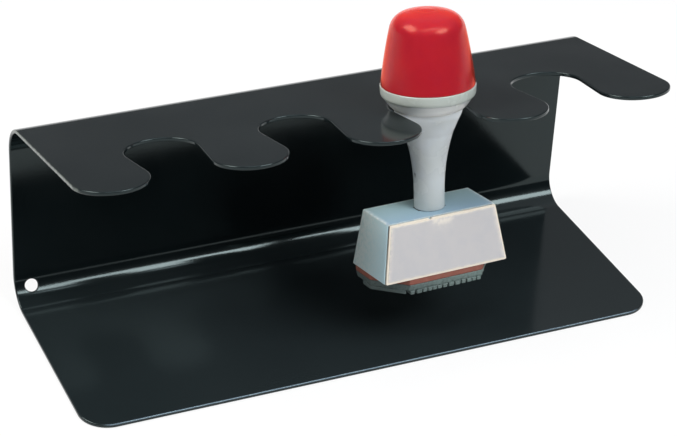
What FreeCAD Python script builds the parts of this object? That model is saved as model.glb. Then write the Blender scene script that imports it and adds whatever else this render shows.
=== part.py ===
import FreeCAD, Part
import enum
import math
import os

import Sketcher
from FreeCAD import Placement, Rotation, Vector

# Stamp rack bent from one steel sheet, with one hand stamp hanging in a slot.
#
# Frame: +X runs along the rack, +Y from its open front to its wall, +Z up, in millimetres.
# The origin is the centre of the base plate's underside.  The stamp's own parts share a second
# frame: its +Z is the stamp's axis, and its origin is where that axis meets the shelf's top face.

DRIVING_SIZES = (
    # the bent sheet
    ("rack_length", 225.0, "length along the bends"),
    ("rack_depth", 88.0, "front edge of the base to the back of the wall"),
    ("corner_height", 76.0, "underside of the base to where wall and shelf would meet"),
    ("sheet_thickness", 1.5, "steel sheet"),
    ("shelf_slope", 12.6, "rise of the shelf towards the front, degrees"),
    ("lower_bend_radius", 10.0, "inside radius between base and wall"),
    ("upper_bend_radius", 13.0, "inside radius between wall and shelf"),
    ("base_corner_radius", 11.0, "front corners of the base"),
    ("hang_hole_diameter", 5.0, "hole in the lower bend"),
    ("hang_hole_side", 6.3, "left end of the sheet to the hole's centre"),
    ("hang_hole_angle", 30.0, "hole's direction below the level, degrees"),
    # the slots, with setbacks measured down the shelf from the corner of wall and shelf
    ("slot_count", 4.0, "number of slots"),
    ("mouth_width", 22.6, "opening between two finger ends"),
    ("seat_radius", 13.0, "round seat at the end of a slot"),
    ("seat_setback", 57.2, "corner to the seat's centre"),
    ("finger_setback", 76.3, "corner to the centre of a finger's round end"),
    ("blank_trim", 3.0, "sheet trimmed away past the fingers"),
    # where the stamp hangs
    ("stamp_slot", 3.0, "slot that holds the stamp, counted from the left"),
    ("stamp_setback", 60.6, "corner to the stamp's axis"),
    ("stamp_turn", 3.9, "turn of the stamp about its own axis, degrees"),
    ("stamp_lean", 0.85, "lean of its lower end towards the wall, from square to the shelf, degrees"),
    ("stamp_side_lean", 0.7, "lean of its lower end to the left, degrees"),
    # the stem
    ("seat_clearance", 0.6, "seat radius less the neck's radius in the shelf's top face"),
    ("shank_radius", 5.6, "straight lower part of the stem"),
    ("shank_reach", 38.0, "shelf's top face down to the block"),
    ("neck_reach", 28.0, "shelf's top face down to where the neck starts to flare"),
    ("collar_overhang", 4.15, "collar radius less the seat radius"),
    ("collar_lift", 2.6, "shelf's top face up to the foot of the collar"),
    ("collar_underside", 3.0, "height of the collar's sloping underside"),
    ("collar_band", 3.0, "height of the collar's rim"),
    ("collar_inset", 2.7, "how far the collar's foot is inside its rim"),
    ("collar_round", 2.0, "rounding below the collar's rim"),
    ("head_height", 9.0, "part of the stem inside the cap"),
    ("stem_wall", 2.0, "wall around the stem's hollow"),
    ("hollow_depth", 22.0, "hollow of the stem, from its head down"),
    ("spigot_radius", 4.2, "end of the stem inside the block"),
    ("spigot_length", 13.0, "length of that end"),
    # the cap
    ("cap_step", 0.2, "collar radius less the cap's radius"),
    ("cap_height", 27.2, "collar to the top of the cap"),
    ("cap_crown", 2.9, "height of the cap's crowned top"),
    ("cap_top_radius", 12.95, "cap where its side would meet the crown"),
    ("cap_shoulder", 6.4, "rounding between side and crown"),
    ("cap_wall", 1.8, "wall of the cap"),
    ("cap_fit", 0.05, "clearance between the stem's head and the cap"),
    # the block
    ("block_height", 21.3, "height of the mount block"),
    ("block_top_width", 44.0, "top, along the rack"),
    ("block_top_depth", 20.0, "top, across the rack"),
    ("block_bottom_width", 50.5, "bottom, along the rack"),
    ("block_bottom_depth", 25.2, "bottom, across the rack"),
    ("block_edge", 0.4, "chamfer of the block's edges"),
    ("bore_fit", 0.05, "clearance around the spigot"),
    # the label
    ("plate_thickness", 1.0, "label plate"),
    ("plate_inset", 0.35, "block's side edge to the plate"),
    ("plate_corner", 1.0, "its rounded corners"),
    ("notch_radius", 0.7, "notch in its upper edge"),
    ("paper_thickness", 0.2, "label paper"),
    ("paper_margin", 0.9, "plate left bare around the paper"),
    # the printing layers
    ("cushion_length", 50.0, "cushion, along the rack"),
    ("cushion_depth", 24.9, "cushion, across the rack"),
    ("cushion_thickness", 2.1, "cushion"),
    ("front_cut_long", 10.0, "front corners cut off along the length"),
    ("front_cut_short", 12.3, "front corners cut off across the depth"),
    ("back_cut_long", 4.0, "back corners cut off along the length"),
    ("back_cut_short", 3.7, "back corners cut off across the depth"),
    ("die_thickness", 2.3, "rubber sheet of the die"),
    ("relief_height", 1.5, "raised print of the die"),
    ("relief_margin", 0.5, "front edge of the die to the first row of the print"),
    ("bar_length", 1.3, "raised bar, along the rack"),
    ("bar_depth", 3.2, "raised bar, across the rack"),
    ("bar_columns", 13.0, "raised bars in a row"),
    ("bar_rows", 4.0, "rows of raised bars"),
    ("bar_pitch", 2.3, "bar to bar along the rack"),
    ("row_pitch", 5.6, "row to row across the rack"),
    ("solid_print_side", 15.6, "middle of the stamp to the solid part of the print, on the left"),
    ("solid_print_back", 6.0, "middle of the stamp to the back of that part"),
    ("solid_print_margin", 0.25, "edge of the die to that part"),
)

# Sizes that follow from the driving ones, as expressions of the sheet's cells.
FINGER_WIDTH = "((Sizes.rack_length - Sizes.slot_count * Sizes.mouth_width) / (Sizes.slot_count + 1))"
SLOT_PITCH = f"({FINGER_WIDTH} + Sizes.mouth_width)"
NECK_RADIUS = "(Sizes.seat_radius - Sizes.seat_clearance)"
NECK_FLARE = f"({NECK_RADIUS} - Sizes.shank_radius)"
NECK_ARC = f"((Sizes.neck_reach ^ 2 + {NECK_FLARE} ^ 2) / (2 * {NECK_FLARE}))"
COLLAR_RADIUS = "(Sizes.seat_radius + Sizes.collar_overhang)"
COLLAR_TOP = "(Sizes.collar_lift + Sizes.collar_underside + Sizes.collar_band)"
CAP_RADIUS = f"({COLLAR_RADIUS} - Sizes.cap_step)"
CAP_SIDE = "(Sizes.cap_height - Sizes.cap_crown)"
CAP_TAPER = f"(({CAP_RADIUS} - Sizes.cap_top_radius) / {CAP_SIDE})"
HOLLOW_RADIUS = f"({CAP_RADIUS} - Sizes.cap_wall * sqrt(1 + {CAP_TAPER} ^ 2))"
HEAD_RADIUS = f"({HOLLOW_RADIUS} - Sizes.cap_fit)"
HEAD_TOP = f"({COLLAR_TOP} + Sizes.head_height)"
HEAD_TOP_RADIUS = f"({HEAD_RADIUS} - {CAP_TAPER} * Sizes.head_height)"
BLOCK_BOTTOM = "(Sizes.shank_reach + Sizes.block_height)"
FRONT_TILT = "atan((Sizes.block_bottom_depth - Sizes.block_top_depth) / 2 / Sizes.block_height)"
PLATE_SETBACK = f"(Sizes.plate_thickness / cos({FRONT_TILT}))"
PLATE_HEIGHT = f"(Sizes.block_height / cos({FRONT_TILT}))"
PLATE_TRIM = f"(Sizes.plate_thickness * tan({FRONT_TILT}))"

# Sketcher's numbers for the ends of a curve, its centre, and the sketch's own axes and origin.
START, END, CENTRE = enum.IntEnum("Point", "START END CENTRE")
X_AXIS, Y_AXIS = enum.IntEnum("Axis", (("X_AXIS", -1), ("Y_AXIS", -2)))
ORIGIN = X_AXIS
NEAR = 1e-3

doc = FreeCAD.newDocument("StampRack")
sizes = doc.addObject("Spreadsheet::Sheet", "Sizes")


def fill_sheet():
    """Write the driving sizes into the sheet: name, value and note."""
    for row, (name, number, note) in enumerate(DRIVING_SIZES, start=1):
        sizes.set(f"A{row}", name)
        sizes.set(f"B{row}", str(number))
        sizes.set(f"C{row}", note)
        sizes.setAlias(f"B{row}", name)
    doc.recompute()


def value(expression):
    """Number that an expression of the sheet's cells gives now."""
    return float(sizes.evalExpression(expression))


def new_body(name):
    body = doc.addObject("PartDesign::Body", name)
    body.Label = name
    return body


def new_sketch(body, role, name, offset=None):
    """Sketch on one of the body's origin planes, moved by an optional placement expression."""
    plane = next(feature for feature in body.Origin.OriginFeatures if feature.Role == role)
    sketch = body.newObject("Sketcher::SketchObject", name)
    sketch.AttachmentSupport = [(plane, "")]
    sketch.MapMode = "FlatFace"
    if offset:
        sketch.setExpression("AttachmentOffset", offset)
    return sketch


def measure(sketch, kind, expression, *ends):
    """Add a dimension of the given kind and bind it to the expression."""
    index = sketch.addConstraint(Sketcher.Constraint(kind, *ends, value(expression)))
    sketch.setExpression(f"Constraints[{index}]", expression)


def pin(sketch, curve, point, x, y):
    """Fix a point of a curve at the place that two expressions give."""
    for kind, axis, expression in (("DistanceX", Y_AXIS, x), ("DistanceY", X_AXIS, y)):
        if expression == "0":
            sketch.addConstraint(Sketcher.Constraint("PointOnObject", curve, point, axis))
        else:
            measure(sketch, kind, expression, ORIGIN, START, curve, point)


def join(sketch, curve, point, next_curve, next_point):
    sketch.addConstraint(Sketcher.Constraint("Coincident", curve, point, next_curve, next_point))


def add_outline(sketch, corners):
    """Closed outline with straight sides; each corner is a pair of expressions."""
    points = [Vector(value(x), value(y), 0) for x, y in corners]
    following = points[1:] + points[:1]
    lines = [sketch.addGeometry(Part.LineSegment(a, b)) for a, b in zip(points, following)]
    for line, next_line in zip(lines, lines[1:] + lines[:1]):
        join(sketch, line, END, next_line, START)
    for line, (x, y) in zip(lines, corners):
        pin(sketch, line, START, x, y)


def round_corner(sketch, curves, before, corner, after, radius):
    """Round the corner where two curves meet, and give the point that keeps its place."""
    arc = len(sketch.Geometry)
    sketch.fillet(*curves, before, after, value(radius), True)
    measure(sketch, "Radius", radius, arc)
    kept = sketch.addGeometry(Part.Point(corner), True)
    for curve in curves:
        sketch.addConstraint(Sketcher.Constraint("PointOnObject", kept, START, curve))
    return kept, START


def add_circle(sketch, x, y, radius):
    centre = Vector(value(x), value(y), 0)
    circle = sketch.addGeometry(Part.Circle(centre, Vector(0, 0, 1), value(radius)))
    pin(sketch, circle, CENTRE, x, y)
    measure(sketch, "Radius", radius, circle)


def grow(body, kind, name, sketch, length=None, reverse=False, both_ways=False):
    """Pad, pocket, revolve or groove a sketch, and check that it added or took material."""
    before = body.Shape.Volume if body.Tip else 0.0
    feature = body.newObject(f"PartDesign::{kind}", name)
    feature.Profile = sketch
    if kind in ("Revolution", "Groove"):
        feature.ReferenceAxis = (sketch, ["V_Axis"])
        feature.Angle = 360.0
    else:
        feature.setExpression("Length", length)
        feature.SideType = "Symmetric" if both_ways else "One side"
        feature.Reversed = reverse
    sketch.Visibility = False
    body.Tip = feature
    doc.recompute()
    check_change(feature, before, removes=kind in ("Pocket", "Groove"))
    return feature


def check_change(feature, before, removes):
    change = feature.Shape.Volume - before
    if (change > -NEAR) if removes else (change < NEAR):
        raise RuntimeError(f"{feature.Label} changes the volume by {change:.4f}")


def soften_edges(body, kind, name, size, wanted):
    """Fillet or chamfer each edge of the body that the test picks."""
    tip = body.Tip
    names = [f"Edge{i}" for i, edge in enumerate(tip.Shape.Edges, start=1) if wanted(edge)]
    if not names:
        raise RuntimeError(f"{name} finds no edge")
    feature = body.newObject(f"PartDesign::{kind}", name)
    feature.Base = (tip, names)
    feature.setExpression("Radius" if kind == "Fillet" else "Size", size)
    body.Tip = feature
    doc.recompute()


def straight_at(edge, **place):
    """True where both ends of a straight edge have the given coordinates."""
    ends = [vertex.Point for vertex in edge.Vertexes]
    return len(ends) == 2 and all(
        abs(getattr(end, axis) - target) < NEAR for end in ends for axis, target in place.items()
    )


# The rack: one bent sheet

CORNER_Y = "(Sizes.rack_depth / 2)"


def shelf_point(reach, depth):
    """Expressions for y and z of a point that far down the shelf and that deep below its top."""
    y = f"{CORNER_Y} - ({reach}) * cos(Sizes.shelf_slope) - ({depth}) * sin(Sizes.shelf_slope)"
    z = f"Sizes.corner_height + ({reach}) * sin(Sizes.shelf_slope) - ({depth}) * cos(Sizes.shelf_slope)"
    return y, z


def bend_sheet(rack):
    """Pad the sheet's profile along X with sharp corners, then round its two bends."""
    gauge = "Sizes.sheet_thickness"
    reach = f"Sizes.finger_setback + {FINGER_WIDTH} / 2 + Sizes.blank_trim"
    wall_face = f"{CORNER_Y} - {gauge}"
    inner_corner = f"Sizes.corner_height - {gauge} * (1 - sin(Sizes.shelf_slope)) / cos(Sizes.shelf_slope)"
    profile = new_sketch(rack, "YZ_Plane", "rack_profile")
    add_outline(profile, (
        (f"-{CORNER_Y}", "0"),
        (CORNER_Y, "0"),
        (CORNER_Y, "Sizes.corner_height"),
        shelf_point(reach, "0"),
        shelf_point(reach, gauge),
        (wall_face, inner_corner),
        (wall_face, gauge),
        (f"-{CORNER_Y}", gauge),
    ))
    grow(rack, "Pad", "bent_sheet", profile, "Sizes.rack_length", both_ways=True)
    for name, radius, inside_z, outside_z in (
        ("lower_bend", "Sizes.lower_bend_radius", gauge, "0"),
        ("upper_bend", "Sizes.upper_bend_radius", inner_corner, "Sizes.corner_height"),
    ):
        soften_edges(rack, "Fillet", f"{name}_inside", radius,
                     lambda edge: straight_at(edge, y=value(wall_face), z=value(inside_z)))
        soften_edges(rack, "Fillet", f"{name}_outside", f"{radius} + {gauge}",
                     lambda edge: straight_at(edge, y=value(CORNER_Y), z=value(outside_z)))


def cut_slots(rack):
    """Trim the shelf to its fingers: round ends and round seats joined by tangent sides.

    The sketch lies in the shelf's top face.  Its X runs along the rack from the left end and its
    Y down the shelf from the corner of wall and shelf.
    """
    slots = round(value("Sizes.slot_count"))
    end_radius = value(FINGER_WIDTH) / 2
    seat_radius = value("Sizes.seat_radius")
    half_pitch = value(SLOT_PITCH) / 2
    rise = value("Sizes.finger_setback - Sizes.seat_setback")
    span = math.hypot(half_pitch, rise)
    lean = math.atan2(rise, half_pitch) - math.acos((end_radius + seat_radius) / span)

    sketch = new_sketch(
        rack, "XY_Plane", "finger_outline",
        "placement(vector(-Sizes.rack_length / 2; Sizes.rack_depth / 2; Sizes.corner_height);"
        " rotation(vector(1; 0; 0); 180 - Sizes.shelf_slope))",
    )

    def add_arc(steps, setback, radius, first, last):
        """Arc centred a number of half pitches from the first finger's centre."""
        x = f"{FINGER_WIDTH} / 2 + {steps} * {SLOT_PITCH} / 2"
        circle = Part.Circle(Vector(value(x), value(setback), 0), Vector(0, 0, 1), value(radius))
        arc = sketch.addGeometry(Part.ArcOfCircle(circle, first, last))
        pin(sketch, arc, CENTRE, x, setback)
        measure(sketch, "Radius", radius, arc)
        return arc

    def add_side(curve, point, next_curve, next_point):
        """Straight side, tangent to the curves that it joins."""
        ends = [sketch.getPoint(curve, point), sketch.getPoint(next_curve, next_point)]
        side = sketch.addGeometry(Part.LineSegment(*ends))
        sketch.addConstraint(Sketcher.Constraint("Tangent", side, START, curve, point))
        sketch.addConstraint(Sketcher.Constraint("Tangent", side, END, next_curve, next_point))

    fingers = []
    for finger in range(slots + 1):
        right = -lean if finger < slots else 0.0
        left = math.pi + lean if finger > 0 else math.pi
        end_expression = f"{FINGER_WIDTH} / 2"
        fingers.append(add_arc(2 * finger, "Sizes.finger_setback", end_expression, right, left))
    for slot in range(slots):
        seat = add_arc(2 * slot + 1, "Sizes.seat_setback", "Sizes.seat_radius",
                       math.pi - lean, 2 * math.pi + lean)
        add_side(fingers[slot], START, seat, START)
        add_side(seat, END, fingers[slot + 1], END)

    # The cut closes past the ends and the front of the blank.
    far_left, far_right = "-Sizes.blank_trim", "Sizes.rack_length + Sizes.blank_trim"
    far_front = f"Sizes.finger_setback + {FINGER_WIDTH} / 2 + 2 * Sizes.blank_trim"
    corners = (
        ("Sizes.rack_length", "Sizes.finger_setback"),
        (far_right, "Sizes.finger_setback"),
        (far_right, far_front),
        (far_left, far_front),
        (far_left, "Sizes.finger_setback"),
    )
    points = [Vector(value(x), value(y), 0) for x, y in corners]
    points.append(Vector(0, value("Sizes.finger_setback"), 0))
    lines = [sketch.addGeometry(Part.LineSegment(a, b)) for a, b in zip(points, points[1:])]
    join(sketch, fingers[-1], START, lines[0], START)
    join(sketch, lines[-1], END, fingers[0], END)
    for line, next_line in zip(lines, lines[1:]):
        join(sketch, line, END, next_line, START)
    for line, (x, y) in zip(lines[1:], corners[1:]):
        pin(sketch, line, START, x, y)
    for line in (lines[0], lines[-1]):
        sketch.addConstraint(Sketcher.Constraint("Horizontal", line))
    grow(rack, "Pocket", "slots", sketch, "6 * Sizes.sheet_thickness", both_ways=True)


def drill_hang_hole(rack):
    """Hole through the lower bend, square to the sheet, drilled out from the bend's centre."""
    radius = "Sizes.lower_bend_radius"
    sketch = new_sketch(
        rack, "XY_Plane", "hang_hole_circle",
        "placement(vector(-Sizes.rack_length / 2 + Sizes.hang_hole_side;"
        f" {CORNER_Y} - Sizes.sheet_thickness - {radius}; Sizes.sheet_thickness + {radius});"
        " rotation(vector(1; 0; 0); -90 - Sizes.hang_hole_angle))",
    )
    add_circle(sketch, "0", "0", "Sizes.hang_hole_diameter / 2")
    grow(rack, "Pocket", "hang_hole", sketch, f"{radius} + 2 * Sizes.sheet_thickness", reverse=True)


def make_rack():
    rack = new_body("rack_sheet")
    bend_sheet(rack)
    cut_slots(rack)
    front = -value(CORNER_Y)
    half_length = value("Sizes.rack_length") / 2
    soften_edges(rack, "Fillet", "base_corners", "Sizes.base_corner_radius", lambda edge: any(
        straight_at(edge, x=side * half_length, y=front) for side in (-1, 1)))
    drill_hang_hole(rack)
    return rack


# The stamp: six pieces stacked along one axis

STAMP_X = f"(-Sizes.rack_length / 2 + {FINGER_WIDTH} / 2 + (Sizes.stamp_slot - 0.5) * {SLOT_PITCH})"
STAMP_Y, STAMP_Z = shelf_point("Sizes.stamp_setback", "0")
STAMP_PLACEMENT = (
    f"placement(vector({STAMP_X}; {STAMP_Y}; {STAMP_Z});"
    " rotation(vector(1; 0; 0); Sizes.stamp_lean - Sizes.shelf_slope)"
    " * rotation(vector(0; 1; 0); Sizes.stamp_side_lean) * rotation(vector(0; 0; 1); Sizes.stamp_turn))"
)


def stamp_body(name):
    """Body of a stamp piece, placed where the stamp hangs and leaning as it does."""
    body = new_body(name)
    body.setExpression("Placement", STAMP_PLACEMENT)
    return body


def raised(height):
    """Placement expression for a sketch that far along the stamp's axis."""
    return f"placement(vector(0; 0; {height}); rotation(vector(0; 0; 1); 0))"


def add_bowed_arc(sketch, start, end, bow, half=False):
    """Arc from start, bowed to the right of the way to end; half of it stops at the middle."""
    chord = end - start
    length = chord.Length
    radius = length ** 2 / (8 * bow) + bow / 2
    left = Vector(-chord.y, chord.x, 0) / length
    centre = (start + end) / 2 + left * (radius - bow)
    first = math.atan2(start.y - centre.y, start.x - centre.x)
    sweep = 2 * math.asin(length / 2 / radius)
    circle = Part.Circle(centre, Vector(0, 0, 1), radius)
    return sketch.addGeometry(Part.ArcOfCircle(circle, first, first + (sweep / 2 if half else sweep)))


def make_stem():
    """Revolve the spigot, shank, trumpet neck, collar and hollow head in one profile."""
    stem = stamp_body("stem")
    sketch = new_sketch(stem, "XZ_Plane", "stem_profile")
    neck_foot = ("Sizes.shank_radius", "-Sizes.neck_reach")
    collar_foot = (f"{COLLAR_RADIUS} - Sizes.collar_inset", "Sizes.collar_lift")
    hollow_radius = f"{HEAD_TOP_RADIUS} - Sizes.stem_wall"
    corners = (
        collar_foot,
        (COLLAR_RADIUS, "Sizes.collar_lift + Sizes.collar_underside"),
        (COLLAR_RADIUS, COLLAR_TOP),
        (HEAD_RADIUS, COLLAR_TOP),
        (HEAD_TOP_RADIUS, HEAD_TOP),
        (hollow_radius, HEAD_TOP),
        (hollow_radius, COLLAR_TOP),
        ("0", f"{HEAD_TOP} - Sizes.hollow_depth"),
        ("0", "-Sizes.shank_reach - Sizes.spigot_length"),
        ("Sizes.spigot_radius", "-Sizes.shank_reach - Sizes.spigot_length"),
        ("Sizes.spigot_radius", "-Sizes.shank_reach"),
        ("Sizes.shank_radius", "-Sizes.shank_reach"),
        neck_foot,
    )
    radius = value(NECK_ARC)
    centre = Vector(value(neck_foot[0]) + radius, value(neck_foot[1]), 0)
    climb = math.asin(value("Sizes.collar_lift + Sizes.neck_reach") / radius)
    circle = Part.Circle(centre, Vector(0, 0, 1), radius)
    neck = sketch.addGeometry(Part.ArcOfCircle(circle, math.pi - climb, math.pi))
    points = [Vector(value(x), value(y), 0) for x, y in corners]
    lines = [sketch.addGeometry(Part.LineSegment(sketch.getPoint(neck, START), points[0]))]
    lines += [sketch.addGeometry(Part.LineSegment(a, b)) for a, b in zip(points, points[1:])]
    join(sketch, neck, START, lines[0], START)
    for line, next_line in zip(lines, lines[1:]):
        join(sketch, line, END, next_line, START)
    ends = [(line, END) for line in lines]
    ends[1] = round_corner(sketch, lines[1:3], *points[:3], "Sizes.collar_round")
    for end, (x, y) in zip(ends, corners):
        pin(sketch, *end, x, y)
    sketch.addConstraint(Sketcher.Constraint("Tangent", lines[-1], END, neck, END))
    sketch.addConstraint(Sketcher.Constraint("Horizontal", lines[0]))
    measure(sketch, "Radius", NECK_ARC, neck)
    grow(stem, "Revolution", "stem_turned", sketch)
    return stem


def make_knob_cap():
    """Revolve the tapered side, round shoulder and crowned top, and hollow the cap from below."""
    cap = stamp_body("knob_cap")
    sketch = new_sketch(cap, "XZ_Plane", "cap_profile")
    corners = (
        ("0", f"{COLLAR_TOP} + Sizes.cap_height"),
        ("0", COLLAR_TOP),
        (CAP_RADIUS, COLLAR_TOP),
        ("Sizes.cap_top_radius", f"{COLLAR_TOP} + {CAP_SIDE}"),
    )
    apex, middle, foot, shoulder = (Vector(value(x), value(y), 0) for x, y in corners)
    lines = [sketch.addGeometry(Part.LineSegment(a, b)) for a, b in
             ((apex, middle), (middle, foot), (foot, shoulder))]
    crown = add_bowed_arc(sketch, shoulder, Vector(-shoulder.x, shoulder.y, 0),
                          value("Sizes.cap_crown"), half=True)
    for line, next_line in zip(lines, lines[1:] + [crown]):
        join(sketch, line, END, next_line, START)
    join(sketch, crown, END, lines[0], START)
    corner = round_corner(sketch, (lines[2], crown), foot, shoulder, apex, "Sizes.cap_shoulder")
    for end, (x, y) in zip([(line, START) for line in lines] + [corner], corners):
        pin(sketch, *end, x, y)
    sketch.addConstraint(Sketcher.Constraint("PointOnObject", crown, CENTRE, Y_AXIS))
    grow(cap, "Revolution", "cap_turned", sketch)
    hollow = new_sketch(cap, "XZ_Plane", "hollow_profile")
    roof = f"({COLLAR_TOP} + {CAP_SIDE} - Sizes.cap_wall)"
    roof_radius = f"({HOLLOW_RADIUS} - {CAP_TAPER} * ({CAP_SIDE} - 2 * Sizes.cap_wall))"
    add_outline(hollow, (
        ("0", COLLAR_TOP),
        (HOLLOW_RADIUS, COLLAR_TOP),
        (roof_radius, f"{roof} - Sizes.cap_wall"),
        (f"{roof_radius} - Sizes.cap_wall", roof),
        ("0", roof),
    ))
    grow(cap, "Groove", "cap_hollow", hollow)
    return cap


def make_mount_block():
    """Pad the block's tapered front view, cut its two slopes and bore it for the spigot.

    The front slope is set back by the label plate, which covers the whole of that face.
    """
    block = stamp_body("mount_block")
    bottom, top = f"-{BLOCK_BOTTOM}", "-Sizes.shank_reach"
    low, high = "Sizes.block_bottom_width / 2", "Sizes.block_top_width / 2"
    view = new_sketch(block, "XZ_Plane", "block_front_view")
    add_outline(view, ((f"-{low}", bottom), (low, bottom), (high, top), (f"-{high}", top)))
    grow(block, "Pad", "block_blank", view, "Sizes.block_bottom_depth", both_ways=True)
    slopes = new_sketch(block, "YZ_Plane", "block_slopes")
    for side, setback in (("-", f" + {PLATE_SETBACK}"), ("", "")):
        outside = f"{side}Sizes.block_bottom_depth"
        add_outline(slopes, (
            (outside, bottom),
            (f"{side}Sizes.block_bottom_depth / 2{setback}", bottom),
            (f"{side}Sizes.block_top_depth / 2{setback}", top),
            (outside, top),
        ))
    grow(block, "Pocket", "front_and_back", slopes, "2 * Sizes.block_bottom_width", both_ways=True)
    front_low = value(f"-Sizes.block_bottom_depth / 2 + {PLATE_SETBACK}")
    front_high = value(f"-Sizes.block_top_depth / 2 + {PLATE_SETBACK}")
    soften_edges(block, "Chamfer", "block_edges", "Sizes.block_edge", lambda edge: not all(
        min(abs(end.Y - front_low), abs(end.Y - front_high)) < NEAR for end in edge.Vertexes))
    bore = new_sketch(block, "XY_Plane", "spigot_bore", raised("-Sizes.shank_reach"))
    add_circle(bore, "0", "0", "Sizes.spigot_radius + Sizes.bore_fit")
    grow(block, "Pocket", "bore", bore, "Sizes.spigot_length + Sizes.bore_fit")
    return block


# Label pieces lie on the block's sloping front face.  Their sketches have X along the face and Y
# up it, from the middle of its lower edge.
FRONT_FACE = (
    f"placement(vector(0; -{BLOCK_BOTTOM}; Sizes.block_bottom_depth / 2);"
    f" rotation(vector(1; 0; 0); -{FRONT_TILT}))"
)


def face_trapezium(inset, side_inset):
    """Corners of the front face, drawn in by the insets at its lower and upper edges and sides."""
    low = "Sizes.block_bottom_width / 2"
    slant = f"((Sizes.block_bottom_width - Sizes.block_top_width) / 2 / {PLATE_HEIGHT})"
    side = f"({side_inset}) * sqrt(1 + {slant} ^ 2)"
    top = f"({PLATE_HEIGHT} - ({inset}))"
    low_x = f"{low} - {slant} * ({inset}) - {side}"
    top_x = f"{low} - {slant} * {top} - {side}"
    return ((f"-({low_x})", inset), (low_x, inset), (top_x, top), (f"-({top_x})", top))


def make_label_plate():
    """Sheet let into the block's front, trimmed so that its rear edge ends level with the block's foot."""
    plate = stamp_body("label_plate")
    outline = new_sketch(plate, "XZ_Plane", "plate_outline", FRONT_FACE)
    add_outline(outline, face_trapezium(PLATE_TRIM, "Sizes.plate_inset"))
    grow(plate, "Pad", "plate_sheet", outline, "Sizes.plate_thickness", reverse=True)
    gauge = value("Sizes.plate_thickness")
    soften_edges(plate, "Fillet", "plate_corners", "Sizes.plate_corner",
                 lambda edge: abs(edge.Length - gauge) < NEAR)
    notch = new_sketch(plate, "XZ_Plane", "plate_notch", FRONT_FACE)
    add_circle(notch, "0", PLATE_HEIGHT, "Sizes.notch_radius")
    grow(plate, "Pocket", "notch", notch, "Sizes.plate_thickness")
    return plate


def make_label_paper():
    paper = stamp_body("label_paper")
    outline = new_sketch(paper, "XZ_Plane", "paper_outline", FRONT_FACE)
    add_outline(outline, face_trapezium("Sizes.paper_margin", "Sizes.plate_inset + Sizes.paper_margin"))
    grow(paper, "Pad", "paper_sheet", outline, "Sizes.paper_thickness")
    return paper


def trimmed_outline():
    """Rectangle of the printing layers with its corners cut off, more at the front."""
    x, y = "Sizes.cushion_length / 2", "Sizes.cushion_depth / 2"
    right = (
        (f"{x} - Sizes.front_cut_long", f"-{y}"),
        (x, f"-{y} + Sizes.front_cut_short"),
        (x, f"{y} - Sizes.back_cut_short"),
        (f"{x} - Sizes.back_cut_long", y),
    )
    left = tuple((f"-({corner_x})", corner_y) for corner_x, corner_y in reversed(right))
    return right + left


def make_cushion():
    cushion = stamp_body("cushion")
    outline = new_sketch(cushion, "XY_Plane", "cushion_outline", raised(f"-{BLOCK_BOTTOM}"))
    add_outline(outline, trimmed_outline())
    grow(cushion, "Pad", "cushion_sheet", outline, "Sizes.cushion_thickness", reverse=True)
    return cushion


def make_printing_die():
    """Rubber sheet with rows of plain raised bars on its underside."""
    die = stamp_body("printing_die")
    top = f"-{BLOCK_BOTTOM} - Sizes.cushion_thickness"
    sheet = new_sketch(die, "XY_Plane", "die_outline", raised(top))
    add_outline(sheet, trimmed_outline())
    grow(die, "Pad", "die_sheet", sheet, "Sizes.die_thickness", reverse=True)
    bar = new_sketch(die, "XY_Plane", "bar_outline", raised(f"{top} - Sizes.die_thickness"))
    columns, rows = "(Sizes.bar_columns - 1) * Sizes.bar_pitch", "(Sizes.bar_rows - 1) * Sizes.row_pitch"
    left, front = f"-({columns} + Sizes.bar_length) / 2", "-Sizes.cushion_depth / 2 + Sizes.relief_margin"
    right, back = f"{left} + Sizes.bar_length", f"{front} + Sizes.bar_depth"
    add_outline(bar, ((left, front), (right, front), (right, back), (left, back)))
    first_bar = grow(die, "Pad", "bar", bar, "Sizes.relief_height", reverse=True)
    before = die.Shape.Volume
    bars = die.newObject("PartDesign::LinearPattern", "bars")
    bars.Originals = [first_bar]
    bars.Direction, bars.Direction2 = (bar, ["H_Axis"]), (bar, ["V_Axis"])
    bars.setExpression("Length", columns)
    bars.setExpression("Length2", rows)
    bars.Occurrences = round(value("Sizes.bar_columns"))
    bars.Occurrences2 = round(value("Sizes.bar_rows"))
    die.Tip = bars
    doc.recompute()
    check_change(bars, before, removes=False)
    solid = new_sketch(die, "XY_Plane", "solid_print_outline", raised(f"{top} - Sizes.die_thickness"))
    add_outline(solid, solid_print_outline())
    grow(die, "Pad", "solid_print", solid, "Sizes.relief_height", reverse=True)
    return die


def solid_print_outline():
    """Left part of the print, along the cut front corner of the die and up its left side."""
    front, margin = "-Sizes.cushion_depth / 2", "Sizes.solid_print_margin"
    slant = "Sizes.front_cut_short / Sizes.front_cut_long"
    cut_start = "(Sizes.cushion_length / 2 - Sizes.front_cut_long)"
    right, left = "-Sizes.solid_print_side", f"-(Sizes.cushion_length / 2 - {margin})"
    right_front = f"{front} + {slant} * (Sizes.solid_print_side - {cut_start}) + 1.5 * {margin}"
    left_front = f"{front} + Sizes.front_cut_short + {margin}"
    return ((left, left_front), (right, right_front), (right, "Sizes.solid_print_back"),
            (left, "Sizes.solid_print_back"))


def check_document(bodies):
    for item in doc.Objects:
        if any(state in ("Invalid", "Error") for state in item.State):
            raise RuntimeError(f"{item.Label} failed: {item.State}")
    for body in bodies:
        shape = body.Shape
        if shape.isNull() or not shape.isValid() or len(shape.Solids) != 1:
            raise RuntimeError(f"{body.Label} is not one valid solid")


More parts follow.
